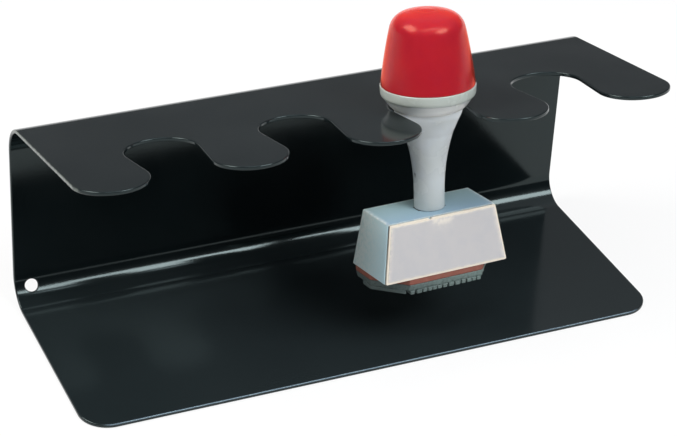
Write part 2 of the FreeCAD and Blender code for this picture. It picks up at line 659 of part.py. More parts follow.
def export(bodies):
    os.makedirs("parts", exist_ok=True)
    for body in bodies:
        body.Shape.exportStep(f"parts/{body.Label}.step")
        box = body.Shape.BoundBox
        print(f"{body.Label:13s} volume {body.Shape.Volume:9.1f}  x {box.XMin:7.2f} {box.XMax:7.2f}"
              f"  y {box.YMin:7.2f} {box.YMax:7.2f}  z {box.ZMin:6.2f} {box.ZMax:6.2f}")


fill_sheet()
BODIES = [
    make_rack(),
    make_stem(),
    make_knob_cap(),
    make_mount_block(),
    make_label_plate(),
    make_label_paper(),
    make_cushion(),
    make_printing_die(),
]
doc.recompute()
check_document(BODIES)
export(BODIES)
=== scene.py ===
import math

import bpy
import numpy as np
from bpy.props import FloatProperty, FloatVectorProperty, IntProperty, PointerProperty
from mathutils import Matrix, Vector, geometry


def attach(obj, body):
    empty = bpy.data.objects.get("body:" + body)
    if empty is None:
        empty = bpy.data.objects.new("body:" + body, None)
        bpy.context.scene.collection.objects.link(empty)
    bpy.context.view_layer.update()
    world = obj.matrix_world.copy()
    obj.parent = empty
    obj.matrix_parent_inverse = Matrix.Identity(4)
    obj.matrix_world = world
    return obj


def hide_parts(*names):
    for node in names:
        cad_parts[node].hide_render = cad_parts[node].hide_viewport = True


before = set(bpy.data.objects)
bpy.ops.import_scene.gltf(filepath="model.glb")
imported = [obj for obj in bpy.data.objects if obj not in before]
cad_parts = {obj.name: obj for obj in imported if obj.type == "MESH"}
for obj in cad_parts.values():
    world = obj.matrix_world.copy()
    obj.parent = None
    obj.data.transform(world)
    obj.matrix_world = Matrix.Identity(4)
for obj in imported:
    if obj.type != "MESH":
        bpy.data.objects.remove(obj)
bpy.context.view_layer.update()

bl_info = {
    "name": "Stamp Rack",
    "version": (1, 0, 0),
    "blender": (4, 5, 0),
    "location": "3D View > Sidebar > Stamp Rack",
    "description": "A rack bent from one enamelled sheet, with a stamp hanging in its third slot",
    "category": "Add Mesh",
}

# Lengths are in metres.  +X runs along the rack, +Y from its open front to its wall and +Z up.
# The stamp's pieces are worked out in its own frame: +Z is its axis, and 0 is the shelf's top face.


# ---- Settings


def length(name, description, default):
    return FloatProperty(name=name, description=description, default=default, min=0.0,
                         unit="LENGTH", precision=5)


def angle(name, description, degrees):
    return FloatProperty(name=name, description=description, default=math.radians(degrees),
                         subtype="ANGLE", unit="ROTATION")


def level(name, description, default, unit="NONE"):
    return FloatProperty(name=name, description=description, default=default, min=0.0, unit=unit)


def colour(name, description, default):
    return FloatVectorProperty(name=name, description=description, default=default, size=3,
                               min=0.0, max=1.0, subtype="COLOR")


class RackSizes(bpy.types.PropertyGroup):
    length: length("Length", "Length along the bends", 0.225)
    depth: length("Depth", "Front edge of the base to the back of the wall", 0.088)
    height: length("Corner height", "Underside of the base to where wall and shelf meet", 0.076)
    gauge: length("Sheet", "Thickness of the sheet with its enamel", 0.0015)
    slope: angle("Shelf slope", "Rise of the shelf towards the front", 12.6)
    lower_bend: length("Lower bend", "Inside radius between base and wall", 0.010)
    upper_bend: length("Upper bend", "Inside radius between wall and shelf", 0.013)
    corner: length("Base corners", "Radius of the front corners of the base", 0.011)
    rim: length("Rim rounding", "Rounding of the sheet's edges under the enamel", 0.00045)
    slots: IntProperty(name="Slots", description="Number of slots in the shelf", default=4, min=1,
                       max=8)
    mouth: length("Slot mouth", "Opening between two finger ends", 0.0226)
    seat: length("Seat radius", "Round seat at the end of a slot", 0.013)
    seat_setback: length("Seat setback", "Corner of the shelf to the seat's centre", 0.0572)
    finger_setback: length("Finger setback", "Corner of the shelf to a finger end's centre", 0.0763)
    hole: length("Hole radius", "Hole that the sheet hangs by in the enamel bath", 0.0025)
    hole_side: length("Hole side", "Left end of the sheet to the hole", 0.0063)
    hole_angle: angle("Hole angle", "Way round the lower bend to the hole", 60.0)


class StampSizes(bpy.types.PropertyGroup):
    setback: length("Setback", "Corner of the shelf to the stamp's axis", 0.0606)
    turn: angle("Turn", "Turn of the stamp about its own axis", 3.9)
    lean: angle("Lean", "Lean of its foot towards the wall", 0.85)
    side_lean: angle("Side lean", "Lean of its foot to the left", 0.7)
    shank: length("Shank radius", "Straight lower part of the stem", 0.0056)
    neck: length("Neck radius", "Stem where it passes the shelf", 0.0124)
    neck_reach: length("Neck reach", "Shelf's top face down to the start of the flare", 0.031)
    collar: length("Collar radius", "Collar under the cap", 0.01715)
    collar_top: length("Collar top", "Shelf's top face to the top of the collar", 0.0086)
    cap: length("Cap radius", "Foot of the cap", 0.01695)
    cap_top: length("Cap top radius", "Cap where its side would meet the crown", 0.0129)
    cap_height: length("Cap height", "Collar to the top of the cap", 0.0272)
    crown: length("Crown", "Height of the cap's crowned top", 0.0029)
    shoulder: length("Shoulder", "Rounding between the cap's side and crown", 0.0068)
    block_top: length("Block top", "Length of the block's top", 0.044)
    block_bottom: length("Block bottom", "Length of the block's foot", 0.0505)
    block_top_depth: length("Block top depth", "Depth of the block's top", 0.020)
    block_bottom_depth: length("Block bottom depth", "Depth of the block's foot", 0.0252)
    block_height: length("Block height", "Height of the block", 0.0213)
    shank_reach: length("Shank reach", "Shelf's top face down to the block", 0.038)
    cushion: length("Cushion", "Thickness of the cushion", 0.0021)
    die: length("Die sheet", "Thickness of the die's sheet", 0.0023)
    relief: length("Relief", "Height of the raised print", 0.0015)


class FinishColours(bpy.types.PropertyGroup):
    enamel: colour("Enamel", "Dark enamel of the sheet", (0.0056, 0.0092, 0.0104))
    # Pale colour of the painted highlight on the rim at the shelf's left end.
    rim: colour("Rim", "Thin enamel on the sheet's cut edges", (0.17, 0.19, 0.165))
    cap: colour("Cap", "Glossy red moulding", (0.45, 0.0145, 0.028))
    stem: colour("Stem", "Pale grey moulding", (0.66, 0.70, 0.72))
    block: colour("Block", "Cool grey mount", (0.53, 0.72, 0.79))
    plate: colour("Plate", "Cream label plate", (0.93, 0.83, 0.70))
    # Brown of the painted shadow along the plate's left edge.
    painted_edge_shadow: colour("Adhesive", "Brown edge of the plate and its backing", (0.075, 0.050, 0.035))
    paper: colour("Paper", "Blank label paper", (0.62, 0.595, 0.595))
    cushion: colour("Cushion", "Brick red sponge rubber", (0.27, 0.088, 0.062))
    die: colour("Die", "Grey-green printing rubber", (0.17, 0.23, 0.215))


class StudioSettings(bpy.types.PropertyGroup):
    lens: level("Lens", "Focal length on a 36 mm wide sensor", 122.77, "CAMERA")
    camera_place: FloatVectorProperty(name="Camera", description="Place of the camera", size=3,
                                      default=(-0.30594, -0.65194, 0.48964),
                                      subtype="TRANSLATION", unit="LENGTH")
    pan: angle("Pan", "Turn of the view from straight ahead, to the right", 25.074)
    tilt: angle("Tilt", "Fall of the view below the level", 32.069)
    roll: angle("Roll", "Turn of the picture", -3.117)
    key: level("Key light", "Power of the soft light at the front right", 6.8, "POWER")
    side: level("Side light", "Power of the soft light at the left", 9.0, "POWER")
    top: level("Top light", "Power of the soft light high in front", 3.2, "POWER")
    low_sky: level("Low surroundings", "Brightness of the room near the horizon", 0.05)
    back_sky: level("Back surroundings", "Brightness added low down behind the rack", 0.087)
    high_sky: level("High surroundings", "Brightness of the room overhead", 0.50)


class StampRackSettings(bpy.types.PropertyGroup):
    rack: PointerProperty(type=RackSizes)
    stamp: PointerProperty(type=StampSizes)
    finish: PointerProperty(type=FinishColours)
    studio: PointerProperty(type=StudioSettings)


# ---- Values and outlines


def ramp(value, start, width):
    """0 at the start, then evenly to 1 a width further on; a negative width leads downwards."""
    return np.clip((value - start) / width, 0, 1)


def bell(value, width, power=2):
    """exp(-(value / width)^power)."""
    return np.exp(-(value / width) ** power)


def ripple(points, amount, scale, seed=0.0):
    """Smooth, fixed unevenness: the mean of five crossed sine waves, from -amount to amount."""
    turns = np.array(((1.0, 0.7, 0.3), (-0.6, 1.3, 0.8), (1.9, -0.4, 1.1), (0.3, 2.3, -1.7),
                      (2.9, 1.1, 0.6)))
    phases = seed + np.array((0.4, 1.9, 3.1, 4.4, 5.6))
    waves = np.sin(points @ turns.T * (2 * math.pi / scale) + phases)
    return amount * waves.mean(axis=-1)


def unit(vectors):
    return vectors / np.maximum(np.linalg.norm(vectors, axis=1, keepdims=True), 1e-12)


def at_height(flat, height):
    """Flat points (x, y), all at one height."""
    return np.column_stack((flat, np.full(len(flat), height)))


def arc(centre, radius, start, end, step=5.0):
    """Points on a circle: centre + radius * (cos a, sin a), a from start to end in degrees."""
    count = int(math.ceil(abs(end - start) / step)) + 1
    a = np.radians(np.linspace(start, end, count))
    return np.asarray(centre, float) + radius * np.stack((np.cos(a), np.sin(a)), axis=1)


def rounded_path(corners, closed=False, steps=5):
    """Path through corners (u, v, rounding), each one replaced by the arc that touches both sides.

    The arc of radius p touches the sides at p / tan(a / 2) from a corner of angle a, and its
    centre is p / sin(a / 2) along the line that halves the corner.
    """
    places = np.array([corner[:2] for corner in corners], float)
    before, after = np.roll(places, 1, axis=0) - places, np.roll(places, -1, axis=0) - places
    path = []
    for i, (place, corner) in enumerate(zip(places, corners)):
        rounding = corner[2]
        if rounding <= 0 or (not closed and i in (0, len(places) - 1)):
            path.append(place[None])
            continue
        to_before, to_after = (way / np.linalg.norm(way) for way in (before[i], after[i]))
        half = math.acos(np.clip(to_before @ to_after, -1, 1)) / 2
        middle = to_before + to_after
        centre = place + middle / np.linalg.norm(middle) * rounding / math.sin(half)
        touch = rounding / math.tan(half)
        first, last = (math.atan2(*(place + way * touch - centre)[::-1])
                       for way in (to_before, to_after))
        sweep = (last - first + math.pi) % (2 * math.pi) - math.pi
        a = first + sweep * np.linspace(0, 1, steps + 1)
        path.append(centre + rounding * np.stack((np.cos(a), np.sin(a)), axis=1))
    return np.concatenate(path)


def box_loop(low, high, corner, steps=4):
    """Rectangle from its low to its high corner, with rounded corners, counter-clockwise."""
    (x0, y0), (x1, y1) = low, high
    return rounded_path(((x0, y0, corner), (x1, y0, corner), (x1, y1, corner), (x0, y1, corner)),
                        closed=True, steps=steps)


def shrunk(outline, inset):
    """Closed outline moved inwards by the inset, along the mean of its sides' normals."""
    after = np.roll(outline, -1, axis=0) - outline
    way = unit(unit(np.roll(after, 1, axis=0)) + unit(after))
    return outline + inset * np.stack((-way[:, 1], way[:, 0]), axis=1)


def finely(outline, step=0.0004):
    """Closed outline with points at an even step along its sides."""
    sides = np.roll(outline, -1, axis=0) - outline
    way = np.concatenate(((0.0,), np.cumsum(np.linalg.norm(sides, axis=1))))
    closed = np.concatenate((outline, outline[:1]))
    at = np.linspace(0, way[-1], int(way[-1] / step), endpoint=False)
    return np.stack([np.interp(at, way, axis) for axis in closed.T], axis=1)


def smooth_through(places, steps=4):
    """Smooth path through places: between P1 and P2, with their neighbours P0 and P3, it is
    (2 P1 + (P2 - P0) t + (2 P0 - 5 P1 + 4 P2 - P3) t^2 + (3 P1 - P0 - 3 P2 + P3) t^3) / 2."""
    p = np.array(places, float)
    p = np.concatenate((2 * p[:1] - p[1:2], p, 2 * p[-1:] - p[-2:-1]))
    t = np.linspace(0, 1, steps, endpoint=False)[:, None]
    p0, p1, p2, p3 = (p[i:len(p) - 3 + i, None] for i in range(4))
    path = (2 * p1 + (p2 - p0) * t + (2 * p0 - 5 * p1 + 4 * p2 - p3) * t ** 2
            + (3 * p1 - p0 - 3 * p2 + p3) * t ** 3) / 2
    return np.concatenate((path.reshape(-1, p.shape[1]), p[-2:-1]))


# ---- Surfaces, each as its points and faces


def ring_faces(starts, columns):
    """Quads between rows of points that close into rings, from each row's first point number."""
    here = np.arange(columns)
    after = (here + 1) % columns
    low, high = starts[:-1, None], starts[1:, None]
    return np.stack((low + here, low + after, high + after, high + here), axis=-1).reshape(-1, 4)


def closed_surface(loops, tips=None):
    """Closed surface through a stack of loops of equal count.

    Each end is closed with one many-sided face, or with a fan from a tip on the axis.
    """
    rows, columns = loops.shape[:2]
    points = loops.reshape(-1, 3)
    faces = ring_faces(np.arange(rows) * columns, columns).tolist()
    ends = np.arange(columns)[::-1], (rows - 1) * columns + np.arange(columns)
    if tips is None:
        return points, faces + [ring.tolist() for ring in ends]
    for tip, ring in zip(tips, ends):
        fan = np.stack((ring, np.roll(ring, -1), np.full(columns, len(points))), axis=-1)
        faces += fan.tolist()
        points = np.concatenate((points, ((0.0, 0.0, tip),)))
    return points, faces


def joined(parts):
    """Several closed surfaces as one."""
    faces, first = [], 0
    for points, part_faces in parts:
        faces += [[first + i for i in face] for face in part_faces]
        first += len(points)
    return np.concatenate([points for points, _ in parts]), faces


def even_angles(count):
    return np.linspace(0, 2 * math.pi, count, endpoint=False)


def turned_loops(path, angles):
    """Rings of a turned surface: (r cos a, r sin a, s) for each point (r, s) of the path."""
    r, s = path[:, 0, None], path[:, 1, None]
    return np.stack((r * np.cos(angles), r * np.sin(angles), s + 0 * angles), axis=-1)


# ---- Putting pieces into the scene


def read(collection, key, width=1, kind=float):
    """One property of all a mesh's faces or face corners."""
    values = np.empty(len(collection) * width, kind)
    collection.foreach_get(key, values)
    return values.reshape(-1, width) if width > 1 else values


def add_piece(name, surface, material, body, node, normals=None):
    """Put a closed surface, given as points, faces and masks, in place of a CAD solid.

    The faces are turned outwards where the volume that they enclose comes out negative.  Unless
    normals are given, a point's normal is the sum of its faces' normals times their areas, so
    that flat faces stay flat beside narrow rounded edges.
    """
    points, faces, masks = surface
    mesh = bpy.data.meshes.new(name)
    mesh.from_pydata(points.tolist(), [], faces)
    if mesh.validate(verbose=False):
        raise RuntimeError(f"{name} has faces that don't hold together")
    areas, face_normals = read(mesh.polygons, "area"), read(mesh.polygons, "normal", 3)
    reach = read(mesh.polygons, "center", 3) - points.mean(axis=0)
    if (reach * face_normals).sum(axis=1) @ areas < 0:
        mesh.flip_normals()
        face_normals = -face_normals
    if normals is None:
        corner_points = read(mesh.loops, "vertex_index", kind=int)
        sizes = read(mesh.polygons, "loop_total", kind=int)
        normals = np.zeros_like(points)
        np.add.at(normals, corner_points,
                  np.repeat(face_normals * areas[:, None], sizes, axis=0))
        normals = unit(normals)
    mesh.shade_smooth()
    mesh.normals_split_custom_set_from_vertices(normals.tolist())
    for mask_name, values in masks.items():
        made = mesh.attributes.new(mask_name, "FLOAT", "POINT")
        made.data.foreach_set("value", values.astype(np.float32))
    mesh.materials.append(material)
    piece = bpy.data.objects.new(name, mesh)
    bpy.context.scene.collection.objects.link(piece)
    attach(piece, body)
    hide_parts(node)


STAMP_SLOT = 2    # the stamp's slot, counted from 0 at the left


def stamp_placement(settings):
    """Where the stamp hangs: on the shelf's top face, square to it but for the lean and turn."""
    rack, stamp = settings.rack, settings.stamp
    pitch = slot_pitch(rack)
    along = -rack.length / 2 + finger_radius(rack) * 2 + rack.mouth / 2 + STAMP_SLOT * pitch
    place = Vector((along, rack.depth / 2 - stamp.setback * math.cos(rack.slope),
                    rack.height + stamp.setback * math.sin(rack.slope)))
    turn = (Matrix.Rotation(-(rack.slope - stamp.lean), 4, "X")
            @ Matrix.Rotation(stamp.side_lean, 4, "Y") @ Matrix.Rotation(stamp.turn, 4, "Z"))
    return np.array(Matrix.Translation(place) @ turn)


def make_stamp_pieces(context, *pieces):
    """Make some of the stamp's pieces and put them where the stamp hangs.

    A piece is its name, the function that gives its points, faces and masks in the stamp's own
    frame, the function that gives its material, and the CAD solid that it stands for.
    """
    settings = context.scene.stamp_rack
    placement = stamp_placement(settings)
    for name, surface, finish, node in pieces:
        points, faces, masks = surface(settings.stamp)
        points = points @ placement[:3, :3].T + placement[:3, 3]
        add_piece(name, (points, faces, masks), finish(settings.finish), "stamp", node)
    return {"FINISHED"}


# ---- Materials


class Nodes:
    """Adds nodes to a node tree."""

    def __init__(self, tree):
        self.tree = tree

    def add(self, kind, sources=(), **properties):
        """Add a node with its properties, and link or set its inputs from (socket, source)."""
        made = self.tree.nodes.new(kind)
        for name, value in properties.items():
            setattr(made, name, value)
        for socket, source in sources:
            if isinstance(source, bpy.types.NodeSocket):
                self.tree.links.new(source, made.inputs[socket])
            else:
                made.inputs[socket].default_value = source
        return made

    def math(self, operation, first, second=0.0, clamp=False):
        return self.add("ShaderNodeMath", ((0, first), (1, second)), operation=operation,
                        use_clamp=clamp).outputs["Value"]

    def ranged(self, value, low, high, low_out=0.0, high_out=1.0, kind="SMOOTHSTEP"):
        """The value's range from low to high, spread from low_out to high_out."""
        return self.add("ShaderNodeMapRange", (
            ("Value", value), ("From Min", low), ("From Max", high), ("To Min", low_out),
            ("To Max", high_out)), interpolation_type=kind).outputs["Result"]

    def noise(self, place, scale, detail, roughness=0.5):
        return self.add("ShaderNodeTexNoise", (
            ("Vector", place), ("Scale", scale), ("Detail", detail),
            ("Roughness", roughness))).outputs["Fac"]

    def mixed(self, share, first, second):
        """Two colours, mixed by the share of the second."""
        return self.add("ShaderNodeMix", (("Factor", share), (6, first), (7, second)),
                        data_type="RGBA").outputs[2]


def grain_nodes(nodes, given):
    """Fine noise, and slow noise that spreads a value between a low and a high."""
    fine = nodes.noise(given["Vector"], given["Fine Scale"], 4.0)
    slow = nodes.noise(given["Vector"], given["Slow Scale"], 3.0, 0.6)
    return fine, slow, nodes.ranged(slow, 0.3, 0.7, given["Low"], given["High"], "LINEAR")


def speck_nodes(nodes, given):
    """Small round spots, one to a cell of a scattered pattern, most cells left empty."""
    cells = nodes.add("ShaderNodeTexVoronoi",
                      (("Vector", given["Vector"]), ("Scale", given["Scale"]))).outputs
    near = nodes.ranged(cells["Distance"], 0.0, given["Radius"], 1.0, 0.0)
    number = nodes.add("ShaderNodeSeparateColor", (("Color", cells["Color"]),)).outputs["Red"]
    return (nodes.math("MULTIPLY", near, nodes.math("LESS_THAN", number, given["Share"])),)


def broken_tint_nodes(nodes, given):
    """A piece's painted mask, broken up by noise."""
    noise = nodes.noise(given["Vector"], given["Scale"], 3.0)
    lightened = nodes.math("MULTIPLY", nodes.ranged(noise, 0.35, 0.6, 0.35, 1.0), given["Mask"])
    return (nodes.math("MULTIPLY", lightened, given["Amount"], clamp=True),)


# What makes each node group, its inputs after Vector with their defaults, and its outputs.
GROUPS = {
    "Grain": (grain_nodes, {"Fine Scale": 2000.0, "Slow Scale": 60.0, "Low": 0.2, "High": 0.4},
              ("Fine", "Slow", "Spread")),
    "Specks": (speck_nodes, {"Scale": 100.0, "Radius": 0.03, "Share": 0.3}, ("Mask",)),
    "Broken Tint": (broken_tint_nodes, {"Mask": 0.0, "Scale": 300.0, "Amount": 0.5}, ("Tint Share",)),
}


def node_group(name):
    """A group of nodes that the finishes share, made when it is first asked for."""
    if name in bpy.data.node_groups:
        return bpy.data.node_groups[name]
    build, inputs, outputs = GROUPS[name]
    tree = bpy.data.node_groups.new(name, "ShaderNodeTree")
    tree.interface.new_socket("Vector", in_out="INPUT", socket_type="NodeSocketVector")
    for socket, default in inputs.items():
        made = tree.interface.new_socket(socket, in_out="INPUT", socket_type="NodeSocketFloat")
        made.default_value = default
    for socket in outputs:
        tree.interface.new_socket(socket, in_out="OUTPUT", socket_type="NodeSocketFloat")
    given, out = tree.nodes.new("NodeGroupInput"), tree.nodes.new("NodeGroupOutput")
    for socket, source in zip(outputs, build(Nodes(tree), given.outputs)):
        tree.links.new(source, out.inputs[socket])
    return tree


class Finish(Nodes):
    """One piece's material: a Principled shader with its constants, and the chain of its colour.

    The grain is the scales of its fine and slow noise and the low and high of its roughness.
    """

    def __init__(self, name, base, grain, **constants):
        self.material = bpy.data.materials.new(name)
        self.material.use_nodes = True
        super().__init__(self.material.node_tree)
        self.shader = self.tree.nodes["Principled BSDF"]
        self.colour = (*base, 1.0)
        self.material.diffuse_color = self.colour
        self.shader.inputs["Base Color"].default_value = self.colour
        for socket, value in constants.items():
            self.shader.inputs[socket.replace("_", " ")].default_value = value
        self.place = self.add("ShaderNodeTexCoord").outputs["Object"]
        noises = self.group("Grain", *grain)
        self.fine, self.slow = noises["Fine"], noises["Slow"]
        self.feed("Roughness", noises["Spread"])

    def feed(self, socket, source):
        self.tree.links.new(source, self.shader.inputs[socket])

    def group(self, name, *values):
        """Outputs of a shared group, with its inputs after Vector in their order."""
        sources = (("Vector", self.place), *zip(GROUPS[name][1], values))
        return self.add("ShaderNodeGroup", sources, node_tree=node_group(name)).outputs

    def specks(self, scale, radius, share):
        return self.group("Specks", scale, radius, share)["Mask"]

    def mask(self, name):
        return self.add("ShaderNodeAttribute", attribute_name=name).outputs["Fac"]

    def tint(self, mask, second, strength=1.0):
        """Lay a second colour over the piece's own, as far as the mask times the strength says."""
        share = self.math("MULTIPLY", mask, strength, clamp=True)
        self.colour = self.mixed(share, self.colour, (*second, 1.0))
        self.feed("Base Color", self.colour)

    def mottle(self, noise, low, high, second, strength):
        """Lay a second colour over the piece's own where a noise runs high."""
        self.tint(self.ranged(noise, low, high), second, strength)

    def broken_tint(self, mask, scale, amount, second):
        """Lay a second colour over the piece's own on a mask broken up by noise."""
        self.tint(self.group("Broken Tint", self.mask(mask), scale, amount)["Tint Share"], second)

    def bump(self, height, depth, *under):
        """Raise the surface by the height times the depth, in metres, over any bump under it."""
        sources = [("Height", height), ("Distance", depth), *(("Normal", below) for below in under)]
        normal = self.add("ShaderNodeBump", sources).outputs["Normal"]
        self.feed("Normal", normal)
        return normal


def enamel_finish(colours):
    """Dark stove enamel: slow mottling, a film of dust, partly painted light, on what faces up,
    with more of it in the middle as painted fill light and less towards the ends, faint orange
    peel, a painted highlight on the thin rim at the shelf's left end and along the top of the
    base's front edge, and a few specks."""
    finish = Finish("dark enamel", colours.enamel, (900.0, 34.0, 0.10, 0.16), Roughness=0.13,
                    IOR=1.5, Specular_IOR_Level=0.44, Specular_Tint=(0.82, 1.0, 1.0, 1.0))
    finish.mottle(finish.slow, 0.35, 0.7, (0.0082, 0.0124, 0.0138), 0.5)
    # Painted light: the dust tint lightens what faces up, fully in the middle of the rack and less
    # towards the ends, as painted fill light where the shelf's shade falls.
    along = finish.add("ShaderNodeSeparateXYZ", (("Vector", finish.place),)).outputs["X"]
    painted_fill_middle = finish.ranged(finish.math("ABSOLUTE", along), 0.035, 0.100, 1.0, 0.55)
    finish.tint(finish.math("MULTIPLY", painted_fill_middle, finish.mask("dust")), (0.0165, 0.0222, 0.0240))
    # Painted highlight: a pale rim along the shelf's left end, broken up by noise.
    finish.broken_tint("rim", 420.0, 0.85, colours.rim)
    # Painted highlight: a pale blue line along the top of the base's front edge.
    finish.tint(finish.mask("line"), (0.17, 0.23, 0.29), 0.9)
    finish.tint(finish.specks(70.0, 0.018, 0.22), (0.30, 0.32, 0.31), 0.8)
    peel = finish.bump(finish.fine, 0.000006)
    finish.bump(finish.specks(70.0, 0.02, 0.22), 0.00004, peel)
    return finish.material


def cap_finish(colours):
    """Glossy red moulding: slight flow marks, a little unevenness in its polish, and painted light
    at its sides and crown.
    """
    finish = Finish("red gloss", colours.cap, (700.0, 90.0, 0.19, 0.27), Roughness=0.22, IOR=1.5,
                    Specular_IOR_Level=0.44, Specular_Tint=(1.0, 0.46, 0.32, 1.0),
                    Subsurface_Weight=0.35, Subsurface_Scale=0.004,
                    Subsurface_Radius=(1.0, 0.16, 0.06))
    finish.mottle(finish.slow, 0.35, 0.7, (0.50, 0.017, 0.026), 0.6)
    # Painted light: where the surface turns from the view, at the sides and on the crown, the red
    # turns brighter and more orange, standing in for light from the sides and above.
    facing = finish.add("ShaderNodeLayerWeight", (("Blend", 0.5),)).outputs["Facing"]
    finish.tint(finish.ranged(facing, 0.35, 0.95), (0.84, 0.052, 0.030))
    gloss = finish.ranged(facing, 0.35, 0.80, 0.0, 0.7)
    finish.feed("Metallic", finish.math("MULTIPLY", gloss, finish.mask("side")))
    finish.bump(finish.slow, 0.00012)
    return finish.material


def stem_finish(colours):
    """Pale grey moulding, satin, with faint specks and mottling, painted light under the collar,
    painted shade on the collar's rim under the cap, and darker towards the shank's foot.
    """
    finish = Finish("pale grey satin", colours.stem, (1500.0, 110.0, 0.19, 0.30), Roughness=0.24,
                    IOR=1.5, Subsurface_Weight=0.5, Subsurface_Scale=0.0035,
                    Subsurface_Radius=(1.0, 0.95, 0.85))
    finish.mottle(finish.slow, 0.4, 0.7, (0.62, 0.65, 0.62), 0.4)
    # under: painted light on the run into the collar; band: the collar's rim darker, with painted
    # shade on its top edge under the cap; foot: darker towards the shank's foot; nick: dark in the
    # nick.
    for mask, second in (("under", (0.97, 0.97, 0.93)), ("band", (0.52, 0.56, 0.52)),
                         ("foot", (0.53, 0.57, 0.57)), ("nick", (0.05, 0.045, 0.04))):
        finish.tint(finish.mask(mask), second)
    finish.tint(finish.specks(260.0, 0.05, 0.25), (0.33, 0.33, 0.30), 0.5)
    finish.bump(finish.fine, 0.00001)
    return finish.material


def block_finish(colours):
    """Cool grey mount, finely matt, paler along its edges as a painted highlight, with painted
    shade on its top and towards its back, and a painted contact shadow round the stem.
    """
    finish = Finish("cool grey mount", colours.block, (2400.0, 120.0, 0.42, 0.58), Roughness=0.5,
                    IOR=1.48, Specular_IOR_Level=0.35)
    finish.mottle(finish.slow, 0.35, 0.7, (0.49, 0.67, 0.73), 0.3)
    # Painted shade: the top face darker and bluer, and the block darker towards its back.
    finish.tint(finish.mask("top"), (0.275, 0.40, 0.515), 0.95)
    finish.tint(finish.mask("back"), (0.36, 0.50, 0.48), 0.75)
    # Painted highlight: paler rounded edges, broken up by noise.
    finish.broken_tint("rim", 700.0, 0.8, (0.66, 0.70, 0.69))
    # Painted contact shadow: a dark ring round the stem on the block's top.
    finish.tint(finish.mask("painted_contact_shadow"), (0.05, 0.045, 0.035), 0.9)
    finish.bump(finish.fine, 0.000006)
    return finish.material


def plate_finish(colours):
    """Cream plate, with a brown painted shadow along its left edge and brown at its notch."""
    finish = Finish("cream plate", colours.plate, (1800.0, 240.0, 0.38, 0.55), Roughness=0.45)
    finish.mottle(finish.slow, 0.4, 0.7, (0.86, 0.76, 0.64), 0.6)
    # Painted shadow: brown along the plate's left edge and at the notch.
    finish.tint(finish.mask("rim"), colours.painted_edge_shadow, 0.95)
    finish.bump(finish.fine, 0.00001)
    return finish.material


def paper_finish(colours):
    """Blank paper with a fine fibre, a faint, cloudy unevenness, a paler border and a painted glare
    patch by the notch.
    """
    finish = Finish("blank paper", colours.paper, (3200.0, 190.0, 0.5, 0.7), Roughness=0.6)
    finish.mottle(finish.slow, 0.35, 0.7, (0.585, 0.57, 0.585), 0.7)
    finish.mottle(finish.fine, 0.45, 0.75, (0.65, 0.605, 0.59), 0.5)
    # Painted glare patch by the notch and a paler border, broken up by noise.
    finish.broken_tint("lightened", 420.0, 1.0, (0.93, 0.85, 0.75))
    finish.bump(finish.fine, 0.00002)
    return finish.material


def cushion_finish(colours):
    """Brick red sponge rubber with open pores along its cut edge."""
    finish = Finish("red sponge rubber", colours.cushion, (2600.0, 500.0, 0.7, 0.9), Roughness=0.8)
    finish.mottle(finish.slow, 0.4, 0.7, (0.33, 0.130, 0.095), 0.7)
    finish.tint(finish.specks(1500.0, 0.3, 0.5), (0.10, 0.03, 0.02), 0.8)
    finish.bump(finish.fine, 0.00012)
    return finish.material


def die_finish(colours):
    """Grey-green printing rubber, dusty, with painted shade darkening it towards the left, and fine
    dark mottling.
    """
    finish = Finish("grey-green rubber", colours.die, (1900.0, 330.0, 0.6, 0.85), Roughness=0.7)
    finish.mottle(finish.slow, 0.42, 0.66, (0.20, 0.25, 0.235), 0.8)
    # Painted shade: darker towards the left.
    finish.tint(finish.mask("painted_shade_left"), (0.045, 0.062, 0.066), 0.6)
    finish.mottle(finish.fine, 0.5, 0.75, (0.03, 0.045, 0.04), 0.7)
    finish.bump(finish.fine, 0.0001)
    return finish.material


# ---- The rack


def finger_radius(rack):
    return (rack.length - rack.slots * rack.mouth) / (rack.slots + 1) / 2


def slot_pitch(rack):
    return 2 * finger_radius(rack) + rack.mouth


